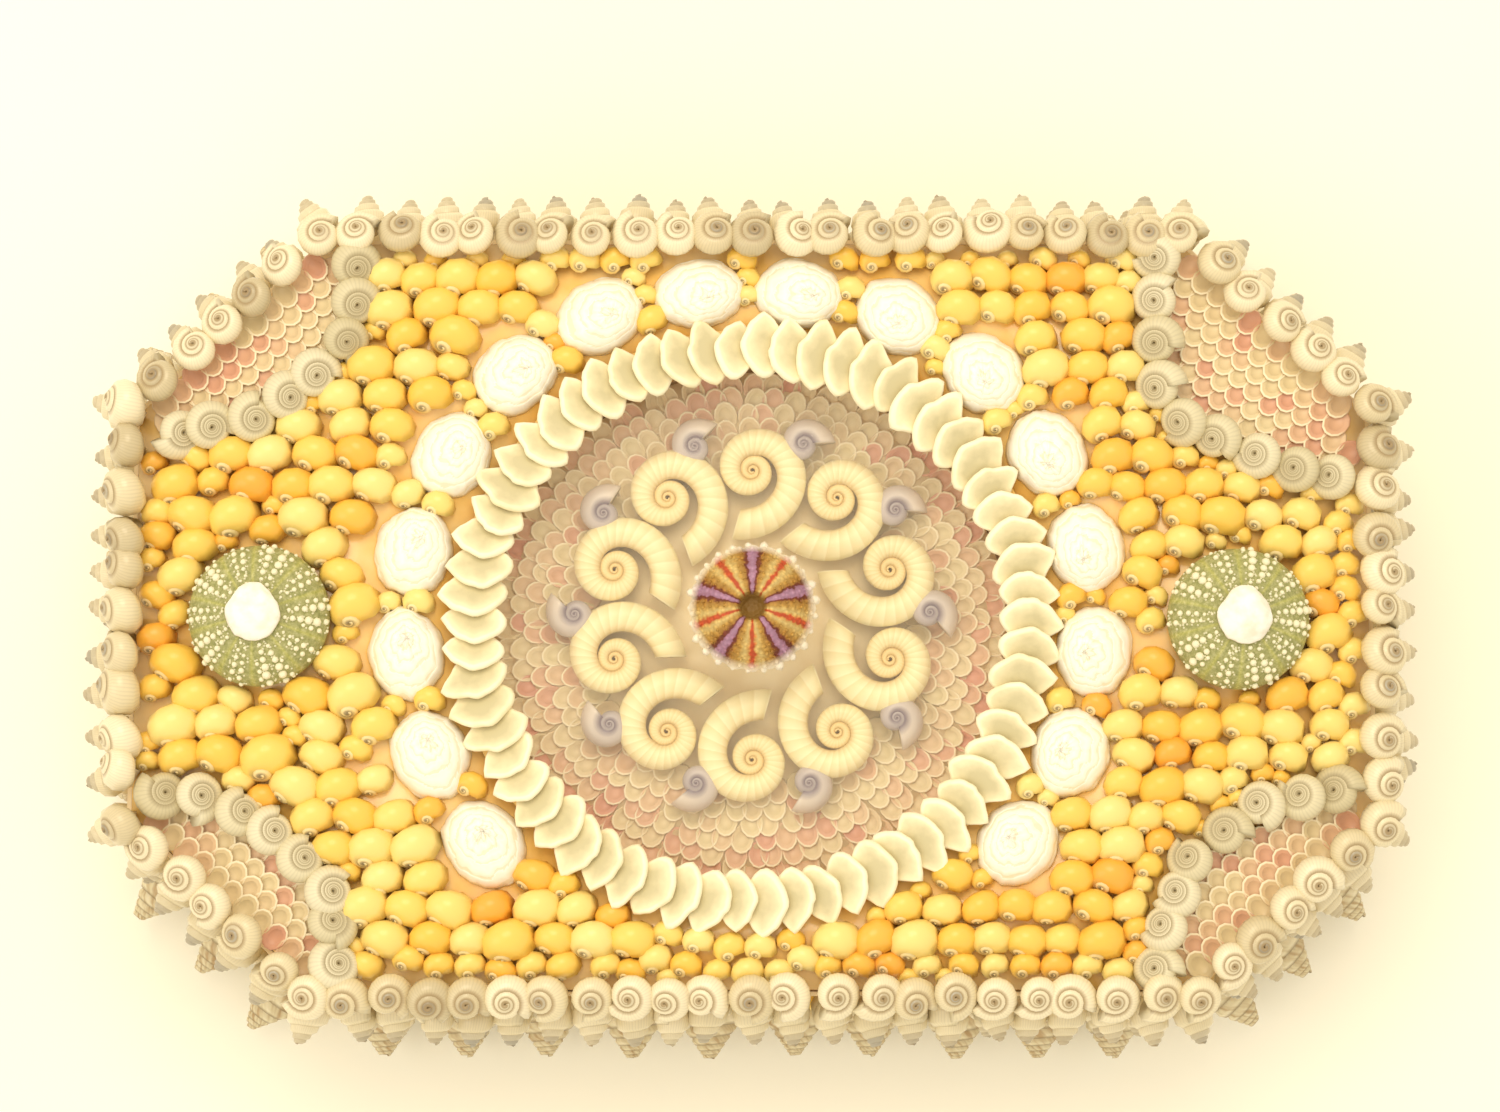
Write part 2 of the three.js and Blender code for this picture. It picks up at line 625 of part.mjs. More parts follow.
// Rows of small top shells, fused on a strip of glue
function addSmallRows() {
  const rimBase = ON_BED + RIM_STRIP_THICKNESS;
  const tilt = THREE.MathUtils.degToRad(RIM_TILT);
  const rimShell = leaning([
    [RIM_RADIUS, 0],
    [0.6 * RIM_RADIUS, 0.66 * RIM_HEIGHT],
    [0, RIM_HEIGHT],
  ], SMALL_SIDES, tilt);
  const rim = [moulding([
    [RIM_LINE + RIM_STRIP_SPREAD, ON_BED],
    [RIM_LINE + RIM_STRIP_SPREAD, rimBase],
    [RIM_LINE - RIM_STRIP_SPREAD, rimBase],
    [RIM_LINE - RIM_STRIP_SPREAD, ON_BED],
  ])];
  rowWithCorners(RIM_LINE, SMALL_PITCH).forEach(({ at, outwards }) => {
    rim.push(rimShell.clone().rotateZ(outwards.angle()).translate(at.x, at.y, rimBase));
  });
  addPiece('rim_row', 'pearl', fuse(rim));

  const middle = LID_BOTTOM + LID_THICKNESS / 2;
  const edge = [glueBand(LID_BOTTOM + GLUE_BAND_MARGIN, LID_TOP - GLUE_BAND_MARGIN)];
  const edgeShell = turned([[EDGE_RADIUS, 0], [0, EDGE_LENGTH + GLUE_BAND / 2]], 4);
  rowWithCorners(GLUE_GAP + GLUE_BAND / 2, SMALL_PITCH).forEach(({ at, outwards }) => {
    const axis = new THREE.Vector3(outwards.x, outwards.y, 0);
    edge.push(stood(edgeShell, new THREE.Vector3(at.x, at.y, middle), axis, outwards.angle()));
  });
  addPiece('lid_edge_row', 'pearl', fuse(edge));
}

function glueBand(bottom, top) {
  return moulding([
    [GLUE_GAP + GLUE_BAND, bottom],
    [GLUE_GAP + GLUE_BAND, top],
    [GLUE_GAP, top],
    [GLUE_GAP, bottom],
  ]);
}

// Level where the foot row's band ends
const FOOT_BAND_TOP = 2 * FOOT_RADIUS + 2 * FOOT_FLOOR_CLEARANCE;

// Courses on the tray's side: a pointed course of top shells at the top and rounded ones below
function addTraySide() {
  const bottom = FOOT_BAND_TOP + 2 * GLUE_GAP;
  const top = TRAY_HEIGHT - GLUE_BAND_MARGIN;
  const pitch = (top - bottom) / COURSE_COUNT;
  const face = GLUE_GAP + GLUE_BAND;
  const profile = [[face, bottom]];
  for (let i = 0; i < COURSE_COUNT - 1; i += 1) {
    const start = bottom + i * pitch;
    profile.push([face + COURSE_LOW_REACH, start + 0.3 * pitch]);
    profile.push([face + COURSE_LOW_REACH, start + 0.7 * pitch]);
    profile.push([face, start + pitch]);
  }
  profile.push([face + COURSE_TOP_REACH, top - pitch / 2], [face, top], [GLUE_GAP, top], [GLUE_GAP, bottom]);
  addPiece('tray_side_courses', 'yellowShell', moulding(profile));
}

// Large top shells round the foot, pointing outwards
function addFootRow() {
  const axisHeight = FOOT_RADIUS + FOOT_FLOOR_CLEARANCE;
  const pieces = [glueBand(FOOT_FLOOR_CLEARANCE, FOOT_BAND_TOP)];
  sides(GLUE_GAP + GLUE_BAND / 2).forEach(({ from, to, outwards }) => {
    const slanting = Math.abs(outwards.x * outwards.y) > 0.01;
    const radius = slanting ? FOOT_SLANT_RADIUS : FOOT_RADIUS;
    const length = (slanting ? FOOT_SLANT_LENGTH : FOOT_LENGTH) + GLUE_BAND / 2;
    const pitch = slanting ? FOOT_SLANT_PITCH : FOOT_PITCH;
    const count = Math.round(from.distanceTo(to) / pitch);
    const height = Math.max(axisHeight, radius + FOOT_FLOOR_CLEARANCE);
    const shell = turned([[radius, 0], [0, length]], 6);
    for (let i = 0; i < count; i += 1) {
      const at = from.clone().lerp(to, (i + 0.5) / count);
      const axis = new THREE.Vector3(outwards.x, outwards.y, 0);
      pieces.push(stood(shell, new THREE.Vector3(at.x, at.y, height), axis));
    }
  });
  addPiece('foot_row', 'stripedShell', fuse(pieces));
}

// Corner panels

function fencePoints({ fromEdges }) {
  return fromEdges.map(([fromEnd, fromLongEdge]) => [HALF_LENGTH - fromEnd, HALF_WIDTH - fromLongEdge]);
}

function fencePath(corner) {
  return new THREE.CatmullRomCurve3(
    fencePoints(corner).map(([x, y]) => new THREE.Vector3(corner.alongX * x, corner.alongY * y, 0)),
  );
}

function addCorner(corner) {
  const path = fencePath(corner);
  const outwards = new THREE.Vector3(
    corner.alongX * SLANT_NORMAL[0],
    corner.alongY * SLANT_NORMAL[1],
    0,
  );
  const tilt = THREE.MathUtils.degToRad(BUTTON_TILT);
  const inwards = Math.atan2(-outwards.y, -outwards.x);
  const button = leaning([
    [0.76 * BUTTON_RADIUS, 0],
    [BUTTON_RADIUS, 0.55 * BUTTON_HEIGHT],
    [0, 1.05 * BUTTON_HEIGHT],
  ], SMALL_SIDES, tilt).rotateZ(inwards);
  const stripTop = ON_BED + RIM_STRIP_THICKNESS;
  const strip = loft(path.getSpacedPoints(BUTTON_STRIP_STEPS).map((point, i) => {
    const across = path.getTangentAt(i / BUTTON_STRIP_STEPS).cross(UP).setLength(0.86 * BUTTON_RADIUS);
    return [
      point.clone().setZ(ON_BED).add(across),
      point.clone().setZ(ON_BED).sub(across),
      point.clone().setZ(stripTop).sub(across),
      point.clone().setZ(stripTop).add(across),
    ];
  }));
  const buttons = path.getSpacedPoints(BUTTON_COUNT - 1)
    .map((point) => button.clone().translate(point.x, point.y, stripTop));
  const room = outlineBlock(INSIDE_RIM, 0, ON_BED + 2 * BUTTON_RADIUS);
  addPiece(`button_row_${corner.name}`, 'greyButton', trim(fuse([strip, ...buttons]), room));
  addPiece(`pink_panel_${corner.name}`, 'pinkScale', panel(corner, path, outwards));
}

// A panel of scales: the ground between fence and rim, cut in steps that face the middle of the lid
function panel(corner, path, outwards) {
  const samples = 8;
  const inner = [];
  for (let i = 0; i <= samples; i += 1) {
    const point = path.getPointAt(i / samples);
    const across = path.getTangentAt(i / samples).cross(UP).normalize();
    const away = across.dot(outwards) > 0 ? across : across.negate();
    inner.push(point.addScaledVector(away, BUTTON_RADIUS + GLUE_GAP));
  }
  const limit = SLANT_DISTANCE + INSIDE_RIM;
  const inside = inner.filter((point) => point.dot(outwards) < limit);
  const first = inside[0];
  const last = inside[inside.length - 1];
  const onLimit = (point) => point.clone().addScaledVector(outwards, limit - point.dot(outwards));
  const points = [...inside, onLimit(last), onLimit(first)];
  if (corner.alongX * corner.alongY < 0) points.reverse();
  const shape = new THREE.Shape(points.map((point) => new THREE.Vector2(point.x, point.y)));
  const ground = new THREE.ExtrudeGeometry(shape, { depth: PANEL_THICKNESS, bevelEnabled: false })
    .translate(0, 0, ON_BED);
  const depths = inside.map((point) => point.dot(outwards));
  const nearest = Math.min(...depths) - 1;
  const pitch = (limit + 1 - nearest) / PANEL_ROW_COUNT;
  const halfSpan = HALF_WIDTH;
  const profile = [];
  for (let i = 0; i < PANEL_ROW_COUNT; i += 1) {
    const edge = nearest + i * pitch;
    profile.push([edge, PANEL_THICKNESS], [edge + pitch, PANEL_THICKNESS - PANEL_ROW_LIFT]);
  }
  profile.push([limit + 1, PANEL_THICKNESS + 1], [nearest, PANEL_THICKNESS + 1]);
  const steps = new THREE.ExtrudeGeometry(
    new THREE.Shape(profile.map(([depth, z]) => new THREE.Vector2(depth, z))),
    { depth: 2 * halfSpan, bevelEnabled: false },
  )
    .translate(0, 0, -halfSpan)
    .rotateX(Math.PI / 2)
    .rotateZ(Math.atan2(outwards.y, outwards.x))
    .translate(0, 0, ON_BED);
  return cut(trim(ground, outlineBlock(INSIDE_RIM, 0, ON_BED + 2 * BUTTON_RADIUS)), steps);
}

// Yellow field

// The same stream of numbers between 0 and 1 each time
function randomStream(seed) {
  let state = seed;
  return () => {
    state = (state * 16807) % 2147483647;
    return state / 2147483647;
  };
}

function fenced(x, y) {
  return CORNERS.some((corner) => {
    const { alongX, alongY } = corner;
    const line = fencePoints(corner);
    const far = [HALF_LENGTH + SMALL_PITCH, HALF_WIDTH + SMALL_PITCH];
    const area = [[line[0][0], far[1]], ...line, [far[0], line[line.length - 1][1]], far];
    let inside = false;
    area.forEach(([x1, y1], i) => {
      const [x2, y2] = area[(i + 1) % area.length];
      const crosses = (y1 > y * alongY) !== (y2 > y * alongY);
      if (crosses && x * alongX < x1 + ((y * alongY - y1) / (y2 - y1)) * (x2 - x1)) inside = !inside;
    });
    return inside;
  });
}

// Large shells are set side by side along each row, and then smaller ones wherever there is room
function yellowPlaces() {
  const random = randomStream(YELLOW_SEED);
  const round = [
    { x: WINDOW_CENTRE[0], y: WINDOW_CENTRE[1], radius: PLATE_CIRCLE + PLATE_LENGTH / 2 },
    ...whitePlaces().map(({ x, y }) => ({ x, y, radius: WHITE_RADIUS })),
    ...greenPlaces().map(({ x, y }) => ({ x, y, radius: GREEN_RADIUS })),
  ];
  CORNERS.forEach((corner) => {
    const along = fencePath(corner).getSpacedPoints(BUTTON_COUNT - 1);
    round.push(...along.map(({ x, y }) => ({ x, y, radius: BUTTON_RADIUS })));
  });
  const shells = [];
  const within = (x, y, reach) => Math.abs(x) + reach < HALF_LENGTH + INSIDE_RIM
    && Math.abs(y) + reach * YELLOW_FLATNESS < HALF_WIDTH + INSIDE_RIM
    && SLANT_NORMAL[0] * Math.abs(x) + SLANT_NORMAL[1] * Math.abs(y) + reach < SLANT_DISTANCE + INSIDE_RIM;
  const place = (x, y, [least, most]) => {
    const leftness = Math.max(0, -x) / HALF_LENGTH;
    const radius = (least + (most - least) * random()) * (1 + (YELLOW_LARGEST_AT_LEFT - 1) * leftness);
    const reach = YELLOW_CLOSENESS * radius + GLUE_GAP;
    const free = within(x, y, reach)
      && round.every((other) => Math.hypot(x - other.x, y - other.y) > reach + other.radius)
      && shells.every((other) => Math.hypot(x - other.x, (y - other.y) / YELLOW_FLATNESS)
        > YELLOW_CLOSENESS * (radius + other.radius))
      && !fenced(x, y);
    if (free) shells.push({ x, y, radius });
  };
  const topRow = HALF_WIDTH + INSIDE_RIM - YELLOW_FLATNESS * YELLOW_SIZES[0] - YELLOW_ROW_WANDER / 2;
  for (let rowY = topRow; rowY > -HALF_WIDTH; rowY -= YELLOW_ROW_PITCH) {
    for (let x = -HALF_LENGTH; x < HALF_LENGTH; x += YELLOW_STEP) {
      place(x, rowY + YELLOW_ROW_WANDER * (random() - 0.5), YELLOW_SIZES);
    }
  }
  YELLOW_FILLERS.forEach((sizes) => {
    for (let y = HALF_WIDTH; y > -HALF_WIDTH; y -= YELLOW_FILLER_STEP) {
      for (let x = -HALF_LENGTH; x < HALF_LENGTH; x += YELLOW_FILLER_STEP) place(x, y, sizes);
    }
  });
  return shells;
}

// The bed covers the whole lid top round the window, and the larger periwinkles stand on it
function addYellowField() {
  const hole = stood(
    disc(WINDOW_RADIUS - GLUE_GAP, BED_BOTTOM - CUT_PAST, BED_TOP + CUT_PAST, WINDOW_SIDES),
    new THREE.Vector3(...WINDOW_CENTRE, 0),
  );
  const bed = cut(outlineBlock(-GLUE_GAP, BED_BOTTOM, BED_TOP), hole);
  const shell = turned([[YELLOW_CLOSENESS, 0], [0.62, 0.72], [0, YELLOW_RISE]], 5);
  const shells = yellowPlaces()
    .filter(({ radius }) => radius > YELLOW_LEAST_MODELLED)
    .map(({ x, y, radius }, i) => shell.clone()
      .rotateZ(i)
      .scale(radius, YELLOW_FLATNESS * radius, YELLOW_FLATNESS * radius)
      .translate(x, y, BED_TOP));
  addPiece('yellow_field', 'yellowShell', fuse([bed, ...shells]));
}

addTray();
addLidBoard();
addWindowBack();
addWindowScales();
addGlass();
addRosette();
addKnob();
addPlateRing();
addWhiteShells();
addGreenUrchins();
addSmallRows();
CORNERS.forEach(addCorner);
addYellowField();
addTraySide();
addFootRow();

export default box;
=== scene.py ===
# A shellwork keepsake box: a long eight-sided wooden box with a lift-off lid, covered with seashells.
# It lies on its base with the lid up. Lengths are in millimetres until a piece is finished in metres.
import math
import random

import bpy
import bmesh
from mathutils import Matrix, Vector, noise


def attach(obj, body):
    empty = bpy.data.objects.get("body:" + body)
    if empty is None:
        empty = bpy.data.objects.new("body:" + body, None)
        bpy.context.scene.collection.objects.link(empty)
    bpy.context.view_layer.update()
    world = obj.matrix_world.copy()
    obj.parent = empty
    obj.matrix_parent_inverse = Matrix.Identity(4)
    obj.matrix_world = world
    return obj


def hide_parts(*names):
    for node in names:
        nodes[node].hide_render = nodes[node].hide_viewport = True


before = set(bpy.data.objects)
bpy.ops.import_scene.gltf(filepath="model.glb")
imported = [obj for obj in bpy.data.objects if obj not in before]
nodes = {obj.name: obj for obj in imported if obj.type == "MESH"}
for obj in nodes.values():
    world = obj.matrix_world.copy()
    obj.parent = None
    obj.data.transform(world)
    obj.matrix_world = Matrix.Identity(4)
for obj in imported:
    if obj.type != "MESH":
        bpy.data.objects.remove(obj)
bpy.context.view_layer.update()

# ---- Wooden tray and lid board
# The box itself: softwood boards glued up with eight sides and given one coat of clear varnish. The shells
# hide its outside, and its inside and underside are left plain. The thin board that closes the window is of
# the same wood.


def linear(code):
    parts = [int(code[i : i + 2], 16) / 255 for i in (1, 3, 5)]
    return [p / 12.92 if p <= 0.04045 else ((p + 0.055) / 1.055) ** 2.4 for p in parts] + [1.0]


def result(source):
    kinds = {"ShaderNodeMix": 2, "ShaderNodeAttribute": "Fac", "ShaderNodeTexCoord": "Object"}
    return source.outputs[kinds.get(source.bl_idname, 0)]


# A socket is named or numbered. Maths has its terms at 0 to 2, a mix its share at 0 and its colours at 6
# and 7, and a range its value at 0, the old limits at 1 and 2 and the new ones at 3 and 4.
def add_node(tree, kind, inputs=None, stops=None, **settings):
    made = tree.nodes.new("ShaderNode" + kind)
    if kind == "Mix":
        made.data_type = "RGBA"
    for name, value in settings.items():
        setattr(made, name, value)
    for socket, value in (inputs or {}).items():
        if isinstance(value, bpy.types.Node):
            value = result(value)
        if isinstance(value, bpy.types.NodeSocket):
            tree.links.new(value, made.inputs[socket])
        else:
            made.inputs[socket].default_value = value
    if stops:
        elements = made.color_ramp.elements
        while len(elements) < len(stops):
            elements.new(1.0)
        for element, (place, colour) in zip(elements, stops):
            element.position = place
            element.color = linear(colour) if isinstance(colour, str) else (colour, colour, colour, 1.0)
    return made


def start_material(name, **plain):
    material = bpy.data.materials.new(name)
    material.use_nodes = True
    tree = material.node_tree
    shader = tree.nodes["Principled BSDF"]
    for socket, value in plain.items():
        shader.inputs[socket.replace("_", " ")].default_value = value
    return material, tree, shader


def paint(tree, shader, colour, relief=None):
    tree.links.new(result(colour), shader.inputs["Base Color"])
    if relief:
        tree.links.new(result(relief), shader.inputs["Normal"])


# Varnished softwood, planed: long soft grain lines a few millimetres apart under a satin coat
varnished_wood, tree, shader = start_material("varnished_softwood", Roughness=0.42, Coat_Weight=0.25)
place = add_node(tree, "TexCoord")
along = add_node(tree, "Mapping", {0: place, 3: (12, 260, 260)})
grain = add_node(tree, "TexNoise", {0: along, "Scale": 1.0, "Detail": 4.0, "Roughness": 0.6})
tone = add_node(
    tree,
    "ValToRGB",
    {0: grain},
    [(0.3, "#A9793F"), (0.48, "#C79A5E"), (0.62, "#D9B27A"), (0.8, "#B98A50")],
)
relief = add_node(tree, "Bump", {"Strength": 0.15, "Distance": 0.0004, "Height": grain})
paint(tree, shader, tone, relief)
for name in ("tray", "lid_board", "window_back"):
    nodes[name].data.materials.clear()
    nodes[name].data.materials.append(varnished_wood)

# ---- Glass over the window
# A round domed watch glass that rests on the ledge of the window. It is clear and 2.4 mm thick, with a
# ground edge.
WINDOW = Vector((-0.5, -2.3, 0))
GLASS_RADIUS = 63.2
GLASS_EDGE = 65.0
GLASS_THICKNESS = 2.4
GLASS_RISE = 9.7


def finish_piece(name, bm, material, slot, *cad_nodes):
    mesh = bpy.data.meshes.new(name)
    bm.to_mesh(mesh)
    bm.free()
    mesh.transform(Matrix.Scale(0.001, 4))
    mesh.materials.append(material)
    mesh.shade_smooth()
    made = bpy.data.objects.new(name, mesh)
    bpy.context.scene.collection.objects.link(made)
    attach(made, "root")
    if cad_nodes:
        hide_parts(*cad_nodes)
    return made


def turned(levels, steps):
    bm = bmesh.new()
    verts = [bm.verts.new((radius, 0, z)) for radius, z in levels]
    edges = [bm.edges.new(pair) for pair in zip(verts, verts[1:])]
    bmesh.ops.spin(
        bm, geom=verts + edges, cent=(0, 0, 0), axis=(0, 0, 1), angle=math.tau, steps=steps, use_merge=True
    )
    bmesh.ops.remove_doubles(bm, verts=bm.verts, dist=1e-4)
    bmesh.ops.recalc_face_normals(bm, faces=bm.faces)
    return bm


# Clear blown glass, thin enough that it is drawn as a pale film with a sharp gloss
clear_glass, tree, shader = start_material(
    "clear_blown_glass", Base_Color=linear("#FFFBEC"), Roughness=0.04, IOR=1.5, Alpha=0.05
)
shares = [i / 14 for i in range(15)]
levels = [(GLASS_RADIUS * share, GLASS_EDGE + GLASS_RISE * (1 - share**2)) for share in shares]
bm = turned(levels + [(radius, z + GLASS_THICKNESS) for radius, z in reversed(levels)], 96)
bmesh.ops.translate(bm, verts=bm.verts, vec=WINDOW)
finish_piece("domed_glass", bm, clear_glass, "glass", "glass_dome")

# ---- Pink scales on the floor of the window
# Small hollow scale shells laid in rings on a bed of glue, like roof tiles, with their free edges outwards.
# Each one is a salmon pink cup with a pale rounded lip.
SCALE_PITCH = 4.7
SCALE_ROW_PITCH = 3.6
SCALE_SIZE = (3.5, 2.7, 2.8)
SCALE_FLOOR = 57.1
FLOOR_RADIUS = 60.2
FIRST_RING = 57.0
dice = random.Random(11)


def sway():
    return dice.uniform(-1, 1)


def turn(angle, axis):
    return Matrix.Rotation(angle, 4, axis)


def as_template(name, bm, *values):
    mesh = bpy.data.meshes.new(name)
    bm.to_mesh(mesh)
    bm.free()
    for value in values:
        mesh.attributes.new(value, "FLOAT", "POINT")
    return mesh


def stamp(bm, template, matrix, **values):
    copy = template.copy()
    copy.transform(matrix)
    for name, value in values.items():
        copy.attributes[name].data.foreach_set("value", [value] * len(copy.vertices))
    bm.from_mesh(copy)
    bpy.data.meshes.remove(copy)


def newest(grown, kind):
    return [part for part in grown["geom"] if isinstance(part, kind)]


def grow(bm, edges):
    grown = bmesh.ops.extrude_edge_only(bm, edges=edges)
    return newest(grown, bmesh.types.BMEdge), newest(grown, bmesh.types.BMVert)


def thicken(bm, rise):
    grown = bmesh.ops.extrude_face_region(bm, geom=list(bm.faces))
    bmesh.ops.translate(bm, verts=newest(grown, bmesh.types.BMVert), vec=(0, 0, rise))
    bmesh.ops.recalc_face_normals(bm, faces=bm.faces)


def scale_shell():
    bm = bmesh.new()
    lip = bm.verts.layers.float.new("lip")
    bmesh.ops.create_circle(bm, segments=12, radius=1.0)
    edges = list(bm.edges)
    for size, height, shade in ((1.0, 0.08, 1.0), (0.9, 0.11, 1.0), (0.8, 0.03, 0.3), (0.4, -0.03, 0.0)):
        edges, verts = grow(bm, edges)
        for vert in verts:
            vert.co.xy = vert.co.xy.normalized() * size
            vert.co.z = height
            vert[lip] = shade * min(1, max(0, 0.5 + 1.2 * vert.co.x))
    bmesh.ops.holes_fill(bm, edges=bm.edges, sides=0)
    bmesh.ops.recalc_face_normals(bm, faces=bm.faces)
    bmesh.ops.scale(bm, verts=bm.verts, vec=SCALE_SIZE)
    return as_template("scale_shell", bm, "tint")


# Scale shells, nacreous inside: salmon pink cups with cream lips, some bleached
scale_pink, tree, shader = start_material("salmon_scale_shell", Roughness=0.4)
lip = add_node(tree, "Attribute", attribute_name="lip")
tint = add_node(tree, "Attribute", attribute_name="tint")
cup = add_node(
    tree,
    "ValToRGB",
    {0: tint},
    [(0.0, "#E8D9AA"), (0.55, "#E8D2A6"), (0.8, "#E6BD98"), (1.0, "#DFA086")],
)
lips = add_node(tree, "ValToRGB", {0: lip}, [(0.35, 0.0), (0.95, 1.0)])
blend = add_node(tree, "Mix", {0: lips, 6: cup, 7: linear("#F8EAC8")})
paint(tree, shader, blend)

# Warm glue that shows between them
glue_floor, tree, shader = start_material("beige_glue", Roughness=0.55)
place = add_node(tree, "TexCoord")
cloud = add_node(tree, "TexNoise", {0: place, "Scale": 120.0, "Detail": 3.0})
tone = add_node(tree, "ValToRGB", {0: cloud}, [(0.35, "#F2DCAE"), (0.65, "#FCEBC4")])
paint(tree, shader, tone)

scale_template = scale_shell()
bm = bmesh.new()
for row in range(6):
    radius = FIRST_RING - row * SCALE_ROW_PITCH
    count = round(math.tau * radius / SCALE_PITCH)
    for i in range(count):
        angle = math.tau * (i + 0.5 * (row % 2)) / count
        place = (
            Matrix.Translation(WINDOW)
            @ turn(angle + 0.02 * sway(), "Z")
            @ Matrix.Translation((radius + 0.3 * sway(), 0, SCALE_FLOOR + 0.1 + 0.05 * row))
            @ turn(-0.11, "Y")
            @ turn(0.2 * sway(), "Z")
            @ Matrix.Scale(dice.uniform(0.94, 1.06), 4)
        )
        stamp(bm, scale_template, place, tint=min(1, 0.8 * dice.random() + 0.3 - 0.05 * row))
finish_piece("window_scale_shells", bm, scale_pink, "pink_scale", "window_scales")
bm = bmesh.new()
bmesh.ops.create_circle(bm, cap_ends=True, segments=72, radius=FLOOR_RADIUS)
bmesh.ops.translate(bm, verts=bm.verts, vec=WINDOW + Vector((0, 0, SCALE_FLOOR)))
thicken(bm, -0.7)
finish_piece("window_floor_glue", bm, glue_floor, "pink_scale")

# ---- Ram's horn shells of the rosette
# Ten small open spiral shells, thin and cream, that lie flat under the glass with their mouths to the middle.
# Fine pale rings show where the chambers inside meet the wall.
ROSETTE = Vector((0, 0.2, 0))
ROSETTE_LEVEL = 58.3
HORN_COUNT = 10
HORN_CIRCLE = 33.8
HORN_RADIUS = 17.3
HORN_TUBE = 3.6
HORN_GROWTH = 1 / 0.365
HORN_MOUTH = math.radians(254)
COIL_VALUES = ("whorl", "around", "tint")


def coil(whorls, steps, sides, growth, reach, drop, wide, tall, lean=0.0, slim=1.0):
    bm = bmesh.new()
    whorl = bm.verts.layers.float.new("whorl")
    around = bm.verts.layers.float.new("around")
    ring = bmesh.ops.create_circle(bm, segments=sides, radius=1.0)["verts"]
    for vert in ring:
        vert[around] = math.atan2(vert.co.y, vert.co.x) / math.tau
    place = (
        Matrix.Translation((reach, 0, -drop))
        @ turn(lean, "Y")
        @ turn(math.pi / 2, "X")
        @ Matrix.Diagonal((wide, tall, 1, 1))
    )
    bmesh.ops.transform(bm, matrix=place, verts=ring)
    step = turn(math.tau / steps, "Z") @ Matrix.Scale(growth ** (-1 / steps), 4)
    edges = list(bm.edges)
    for _ in range(round(whorls * steps)):
        edges, verts = grow(bm, edges)
        for vert in verts:
            vert[whorl] += 1 / steps
        bmesh.ops.transform(bm, matrix=step, verts=verts)
    if slim < 1:
        for vert in bm.verts:
            share = slim + (1 - slim) * min(1, vert[whorl] / 0.5)
            outer = (reach + wide) * growth ** -vert[whorl]
            near = vert.co.xy.length
            vert.co.xy *= (outer - (outer - near) * share) / near
            vert.co.z *= share
    bmesh.ops.holes_fill(bm, edges=bm.edges, sides=0)
    bmesh.ops.recalc_face_normals(bm, faces=bm.faces)
    return bm


# Ram's horn shell, thin chalky lime: cream with paler chamber rings, ochre where the coil tightens, painted
# brown shade on the inner side
horn_cream, tree, shader = start_material("chalky_ram_horn_shell", Roughness=0.45, Coat_Weight=0.15)
whorl, around = [add_node(tree, "Attribute", attribute_name=name) for name in COIL_VALUES[:2]]
chambers = add_node(tree, "Math", {0: whorl, 1: 27.0}, operation="MULTIPLY")
part = add_node(tree, "Math", {0: chambers}, operation="FRACT")
ringed = add_node(
    tree,
    "ValToRGB",
    {0: part},
    [(0.0, "#FCEFC4"), (0.12, "#EFDDA2"), (0.6, "#F4E5B0"), (1.0, "#F8ECBC")],
)
depth = add_node(tree, "MapRange", {0: whorl, 1: 0.5, 2: 2.0, 3: 0.0, 4: 0.6})
aged = add_node(tree, "Mix", {0: depth, 6: ringed, 7: linear("#DDB560")})
# Painted shade: the side of each tube that faces the middle of the coil is darkened towards brown
side = add_node(tree, "Math", {0: around}, operation="ABSOLUTE")
inside = add_node(tree, "ValToRGB", {0: side}, [(0.34, 0.0), (0.48, 0.55)])
inner_side_painted_shade = add_node(tree, "Mix", {0: inside, 6: aged, 7: linear("#C79A4A")})
ridge = add_node(tree, "Bump", {"Strength": 0.25, "Distance": 0.0003, "Height": part})
paint(tree, shader, inner_side_painted_shade, ridge)

half = 0.325 * HORN_RADIUS
bm = coil(
    whorls=3.2, steps=44, sides=14, growth=HORN_GROWTH, reach=HORN_RADIUS - half, drop=0, wide=half,
    tall=1.45 * HORN_TUBE, slim=0.68,
)
horn_template = as_template("horn_shell", bm, "tint")
for i in range(HORN_COUNT):
    angle = math.pi / 2 - math.tau * i / HORN_COUNT
    size = dice.uniform(0.97, 1.0)
    place = (
        Matrix.Translation(ROSETTE + Vector((0, 0, ROSETTE_LEVEL + HORN_TUBE)))
        @ turn(angle - math.pi / 2, "Z")
        @ Matrix.Translation((0, HORN_CIRCLE, 0))
        @ turn(HORN_MOUTH, "Z")
        @ Matrix.Scale(size, 4)
    )
    bm = bmesh.new()
    stamp(bm, horn_template, place, tint=dice.random())
    finish_piece(f"ram_horn_shell_{i + 1:02d}", bm, horn_cream, "horn_shell", f"spirula_{i + 1:02d}")

# ---- Violet snail shells
# Ten small round snail shells tucked between the ram's horns near the outer end of each one. They are thin
# and lilac grey, with a darker line along the seam of the coil.
SNAIL_CIRCLE = 43.2
SNAIL_WIDTH = 12.3
SNAIL_HEIGHT = 6.3


def fitted(bm, width, height=None):
    low = Vector([min(vert.co[k] for vert in bm.verts) for k in range(3)])
    high = Vector([max(vert.co[k] for vert in bm.verts) for k in range(3)])
    across = max(high.x - low.x, high.y - low.y)
    size = width / across
    tall = height / (high.z - low.z) if height else size
    bmesh.ops.translate(bm, verts=bm.verts, vec=(-(low.x + high.x) / 2, -(low.y + high.y) / 2, -low.z))
    bmesh.ops.scale(bm, verts=bm.verts, vec=(size, size, tall))
    return bm


